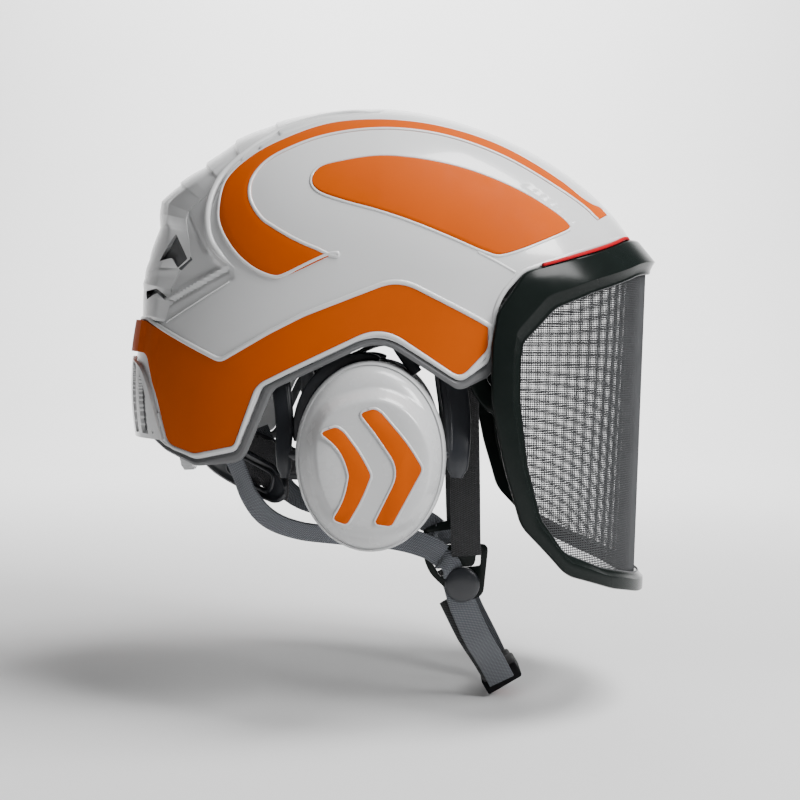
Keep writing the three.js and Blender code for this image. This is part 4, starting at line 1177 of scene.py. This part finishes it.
def make_head_harness():
    angle = np.linspace(0, 2 * PI, 361)[:-1]
    rows = np.linspace(-72, -44, 15)

    def wave(z):
        ends = np.minimum(z + 72, -44 - z)
        return 0.5 * smooth_step(0, 3, ends) * (0.6 + 0.4 * np.cos(ends * 0.9))

    outer = np.array([ellipse_point(102, 79, 8, angle, 1.5 + wave(z), z) for z in rows])
    inner = np.array([ellipse_point(102, 79, 8, angle, 0, z) for z in rows])
    band = slab("headband_fine", outer, inner, wrap=True)
    place(band, "helmet", DARK, "headband", slot="dark_plastic")
    puffed("brow_pad", "brow_cushion", "helmet", TEXTILE, 4.0, 1.5)
    puffed("crown_pad", "crown_cushion", "helmet", TEXTILE, 4.0, 0.8)
    for where in ("front_right", "front_left", "rear_right", "rear_left"):
        node = f"headband_clip_{where}"
        place(softened(node, f"{node}_fine", 1.2), "helmet", DARK, node, slot="dark_plastic")
    lengthwise = [
        (104, 0, -40), (90, 0, -14), (45, 0, 5.5), (-5, 0, 7.2), (-52, 0, 5.5), (-86, 0, -16), (-93, 0, -40)]
    t = np.linspace(0, 1, 110)
    out = np.stack([mix(1, -1, t), 0 * t, 0.8 + 0 * t], axis=1)
    strap("crown_web_long", lengthwise, 18, 1.3, out, "helmet", BLACK_WEB, "crown_strap_long", "black_webbing",
          110)
    crosswise = [
        (-5, -76, -40), (-5, -62, -10), (-5, -30, 7), (-5, 0, 9.2), (-5, 30, 7), (-5, 62, -10), (-5, 76, -40)]
    bow = np.stack([0 * t, mix(-1, 1, t) * 1.2, 0.9 + 0 * t], axis=1)
    strap("crown_web_cross", crosswise, 18, 1.3, bow, "helmet", BLACK_WEB, "crown_strap_cross", "black_webbing",
          110)


def make_size_adjuster():
    t = np.linspace(-1, 1, 161)
    reach = math.radians(60)
    angle = PI - t * reach
    middle = -148 - 26 * np.abs(t) ** 1.5
    end_round = (np.clip(np.abs(t) - 0.9, 0, 1) / 0.104) ** 2
    tall = mix(30, 20, np.abs(t)) * np.sqrt(np.clip(1 - end_round, 0.02, 1))
    v = np.linspace(-0.5, 0.5, 17)[:, None]
    edge = (0.5 - np.abs(v)) * tall[None]
    z = middle[None] + v * tall[None]
    rim = 0.9 * (1 - smooth_step(2.0, 3.2, edge)) * smooth_step(0, 1.0, edge)
    outer = ellipse_point(104, 74, 8, angle[None], 1.9 + rim, z)
    inner = ellipse_point(104, 74, 8, angle[None], 0.3 + 0.5 * (1 - smooth_step(0, 1, edge)), z)
    cradle = slab("nape_cradle_fine", outer, inner, sharp=50)
    def cradle_point(t):
        return ellipse_point(104, 74, 8, PI - t * reach, 1.0, -148 - 26 * abs(t) ** 1.5)

    hems = []
    for k in (-1, 1):
        for spot, long, high in ((0.76, 31, 9.5), (0.36, 17, 8)):
            centre = cradle_point(k * spot)
            tangent = unit(cradle_point(k * spot + 0.05) - cradle_point(k * spot - 0.05))
            a = PI - k * spot * reach
            outward = unit(np.array([74 * math.cos(a), 104 * math.sin(a), 0.0]))
            upward = unit(np.cross(outward, tangent))
            loop = rounded([(-long / 2, -high / 2), (long / 2, -high / 2), (long / 2, high / 2),
                            (-long / 2, high / 2)], 4, 6)
            rings = np.array([centre + loop[:, :1] * tangent + loop[:, 1:] * upward + outward * d for d in (-8, 8)])
            cut_out(cradle, ring_body("slot", rings))
            length = np.linalg.norm(cradle_point(k * spot + 0.01) - cradle_point(k * spot - 0.01)) / 0.02
            hem = [cradle_point(k * spot + u * 1.08 / length) + w * 1.2 * upward + outward * 1.3
                   for u, w in np.vstack([loop, loop[:2]])]
            hems.append(tube("hem", np.array(hem), 1.1, outward, 0.8, 8))
    cradle = join_pieces("nape_cradle_fine", [cradle] + hems)
    place(cradle, "size_adjuster", DARK, "nape_cradle", slot="dark_plastic")
    puffed("nape_pad", "nape_cushion", "size_adjuster", TEXTILE, 4.0, 1.5)
    place(softened("ratchet_housing", "ratchet_cover", 1.0), "size_adjuster", DARK, "ratchet_housing",
          slot="dark_plastic")
    turn = np.linspace(0, 2 * PI, 361)[:-1]
    teeth = 18
    shape = 0.5 + 0.5 * np.cos(turn * teeth)
    rings = []
    for x, size, depth in ((-103.2, 17.4, 0.8), (-103.9, 18.5, 1.2), (-109.4, 18.7, 1.3), (-110.4, 17.8, 0.9),
                           (-110.7, 16.6, 0.3), (-110.5, 14, 0), (-109.6, 12.5, 0), (-109.4, 6, 0)):
        r = size + depth * (shape - 0.5)
        rings.append(np.stack([np.full(360, x), r * np.cos(turn), -150 + r * np.sin(turn)], axis=1))
    knob = ring_body("knob", np.array(rings), sharp=40)
    grip = plate("grip", rounded([(-9, -2.2), (9, -2.2), (9, 2.2), (-9, 2.2)], 2, 5), 0, 2.6, 1, 0.8)
    spots = np.zeros(len(grip.data.vertices) * 3)
    grip.data.vertices.foreach_get("co", spots)
    spots = spots.reshape(-1, 3)
    turned = np.stack([-0.1092 - spots[:, 1], spots[:, 0], -0.150 + spots[:, 2]], axis=1)
    grip.data.vertices.foreach_set("co", turned.ravel())
    place(join_pieces("size_knob_fine", [knob, grip]), "size_knob", CUP, "size_knob", slot="cup_grey")
    for side, word in SIDES:
        node = f"cradle_hanger_{word}"
        place(softened(node, f"{node}_fine", 0.7), "helmet", DARK, node, slot="dark_plastic")


def make_chin_harness(side, word):
    up = (0, side, 0)
    y0 = 51

    def on_side(points):
        return [(x, y * side, z) for x, y, z in points]

    front = on_side([
        (48, 76.5, -74.5), (49, 76.5, -108), (50.5, 66, -160), (51.5, 54.5, -203), (52, y0 + 1, -211)])
    strap(f"front_web_{word}", front, 16, 1.4, up, "helmet", BLACK_WEB, f"front_strap_{word}", "black_webbing")
    rear = on_side([(-75, 72, -149), (-69, 71, -163), (-63, 68, -178), (-54, 63, -189.5), (-38, 59, -196.5),
                    (-8, 57, -199.5), (14, 56, -201), (32, 54, -206.5), (38.5, y0 + 1.5, -211)])
    t = np.linspace(0, 1, 140)
    bend, settle = smooth_step(0.12, 0.4, t), smooth_step(0.5, 0.85, t)
    lean = np.stack([-0.9 * (1 - bend), side * (1 + 0 * t), -0.75 * bend * (1 - settle)], axis=1)
    strap(f"rear_web_{word}", rear, 13, 1.4, lean, "helmet", GREY_WEB, f"rear_strap_{word}", "grey_webbing",
          140)
    lower = on_side([(46.5, y0 + 0.95, -226), (49.3, y0 + 0.9, -236), (52, 49.7, -243), (58, 43, -257),
                     (67, 30, -274), (72.9, 23.4, -286)])
    t = np.linspace(0, 1, 90)
    turn = np.stack([0.25 + 0 * t, side * (1 - 0.35 * t), -0.55 * t], axis=1)
    strap(f"chin_web_{word}", lower, 15, 1.3, turn, "helmet", GREY_WEB, f"chin_strap_{word}", "grey_webbing")
    under = [(x - 7.6 + 0.6 * k, y - 1.7 * side, z + 1.5) for k, (x, y, z) in enumerate(lower)]
    strap(f"chin_web_tail_{word}", under[1:], 11.5, 1.3, turn, "helmet", BLACK_WEB, None, "black_webbing")
    divider = softened(f"strap_divider_{word}", f"divider_{word}_fine", 0.9, 3)
    place(divider, "helmet", BLACK, f"strap_divider_{word}", slot="gloss_black")
    turn = np.linspace(0, 2 * PI, 73)[:-1]
    rings = []
    for r, y in ((9.1, y0 + 1.3), (9.5, y0 + 1.8), (9.5, y0 + 2.9), (9.2, y0 + 3.5), (8.3, y0 + 4.1),
                 (6.5, y0 + 4.6), (4.0, y0 + 4.9), (1.5, y0 + 5.0)):
        rings.append(np.stack([49.5 + r * np.cos(turn), np.full(72, side * y), -226.5 + r * np.sin(turn)], axis=1))
    cap = ring_body("cap", np.array(rings), sharp=40)
    place(cap, f"divider_lock_{word}", DARK, f"divider_lock_{word}", slot="dark_plastic")
    cap.name = f"divider_cap_{word}"
    fold_points = [(36, y0 - 1.2, -212.5), (40, y0 + 2.2, -212), (44, y0 + 2.4, -217), (44.5, y0 + 0.6, -221.5)]
    fold = line(on_side(fold_points), 40)
    loop = bar(f"divider_loop_{word}", fold, 12, 1.3, (0.5, side, 0.3), corner=0.4)
    place(loop, "helmet", GREY_WEB, slot="grey_webbing")
    place(softened(f"strap_anchor_{word}", f"strap_anchor_{word}_fine", 0.8), "helmet", DARK,
          f"strap_anchor_{word}", slot="dark_plastic")


def make_buckle():
    for half in ("buckle_socket", "buckle_plug"):
        place(softened(half, f"{half}_fine", 1.4, 4), "helmet", BUCKLE, half, slot="gloss_black")
    place(softened("buckle_release", "buckle_button", 0.8, 3), "buckle_release", RED, "buckle_release",
          slot="red_trim")


make_shell()
make_flange()
make_films()
make_piping()
make_spine()
make_grille()
make_visor_frame()
make_visor_mesh()
make_visor_trims()
for muff_side, muff_word in SIDES:
    make_muff(muff_side, muff_word)
    make_chin_harness(muff_side, muff_word)
make_head_harness()
make_size_adjuster()
make_buckle()

# ------------------------------------------------------------------ stage, light and camera


def add_area(name, where, aim, size, power, colour=(1, 1, 1)):
    light = bpy.data.lights.new(name, "AREA")
    light.shape = "RECTANGLE"
    light.size, light.size_y = size
    light.energy = power
    light.color = colour
    lamp = bpy.data.objects.new(name, light)
    bpy.context.scene.collection.objects.link(lamp)
    lamp.location = where
    lamp.rotation_euler = (Vector(aim) - Vector(where)).to_track_quat("-Z", "Y").to_euler()
    return lamp


def make_stage():
    floor_z = CAD_LOW[2] / MM - 2
    arc = np.linspace(0, PI / 2, 16)
    profile = [(-4000, floor_z), (0, floor_z), (1400, floor_z)]
    profile += [(1400 + 900 * math.sin(a), floor_z + 900 - 900 * math.cos(a)) for a in arc[1:]]
    profile += [(2300, floor_z + 4500)]
    x = np.linspace(-5000, 5000, 3)
    top = np.array([[(px, py, pz) for px in x] for py, pz in profile])
    backdrop = finish_mesh("floor", top.reshape(-1, 3), grid_faces(len(profile), 3, 0, False, False), sharp=60)
    material, nodes, links, shader = new_material("pale_floor")
    cloud = object_noise(nodes, links, 3, 3)
    links.new(ramp(nodes, links, cloud.outputs["Fac"], (0.76,) * 3, (0.78,) * 3), shader.inputs["Base Color"])
    shader.inputs["Roughness"].default_value = 0.8
    shader.inputs["Specular IOR Level"].default_value = 0.1
    backdrop.data.materials.append(material)
    world = bpy.data.worlds.new("studio")
    bpy.context.scene.world = world
    world.use_nodes = True
    back = world.node_tree.nodes["Background"]
    back.inputs["Color"].default_value = (1, 1, 1, 1)
    back.inputs["Strength"].default_value = 0.05
    add_area("overhead", (0.55, -0.25, 1.1), (0.02, 0, -0.05), (0.8, 0.6), 28)
    add_area("key", (1.1, -0.8, 0.7), (0.04, 0, -0.1), (0.5, 0.5), 24)
    add_area("wall", (0, 1.0, 1.2), (0, 2.3, 0.4), (1.7, 0.9), 100)


def make_camera():
    data = bpy.data.cameras.new("camera")
    data.sensor_width = 36
    data.lens = 36 * 1324 / 800
    data.shift_x = -0.01875
    data.shift_y = -0.06375
    camera = bpy.data.objects.new("camera", data)
    bpy.context.scene.collection.objects.link(camera)
    camera.location = (0.024, -0.770, -0.099)
    camera.rotation_euler = (PI / 2, 0, 0)
    bpy.context.scene.camera = camera


make_camera()
make_stage()
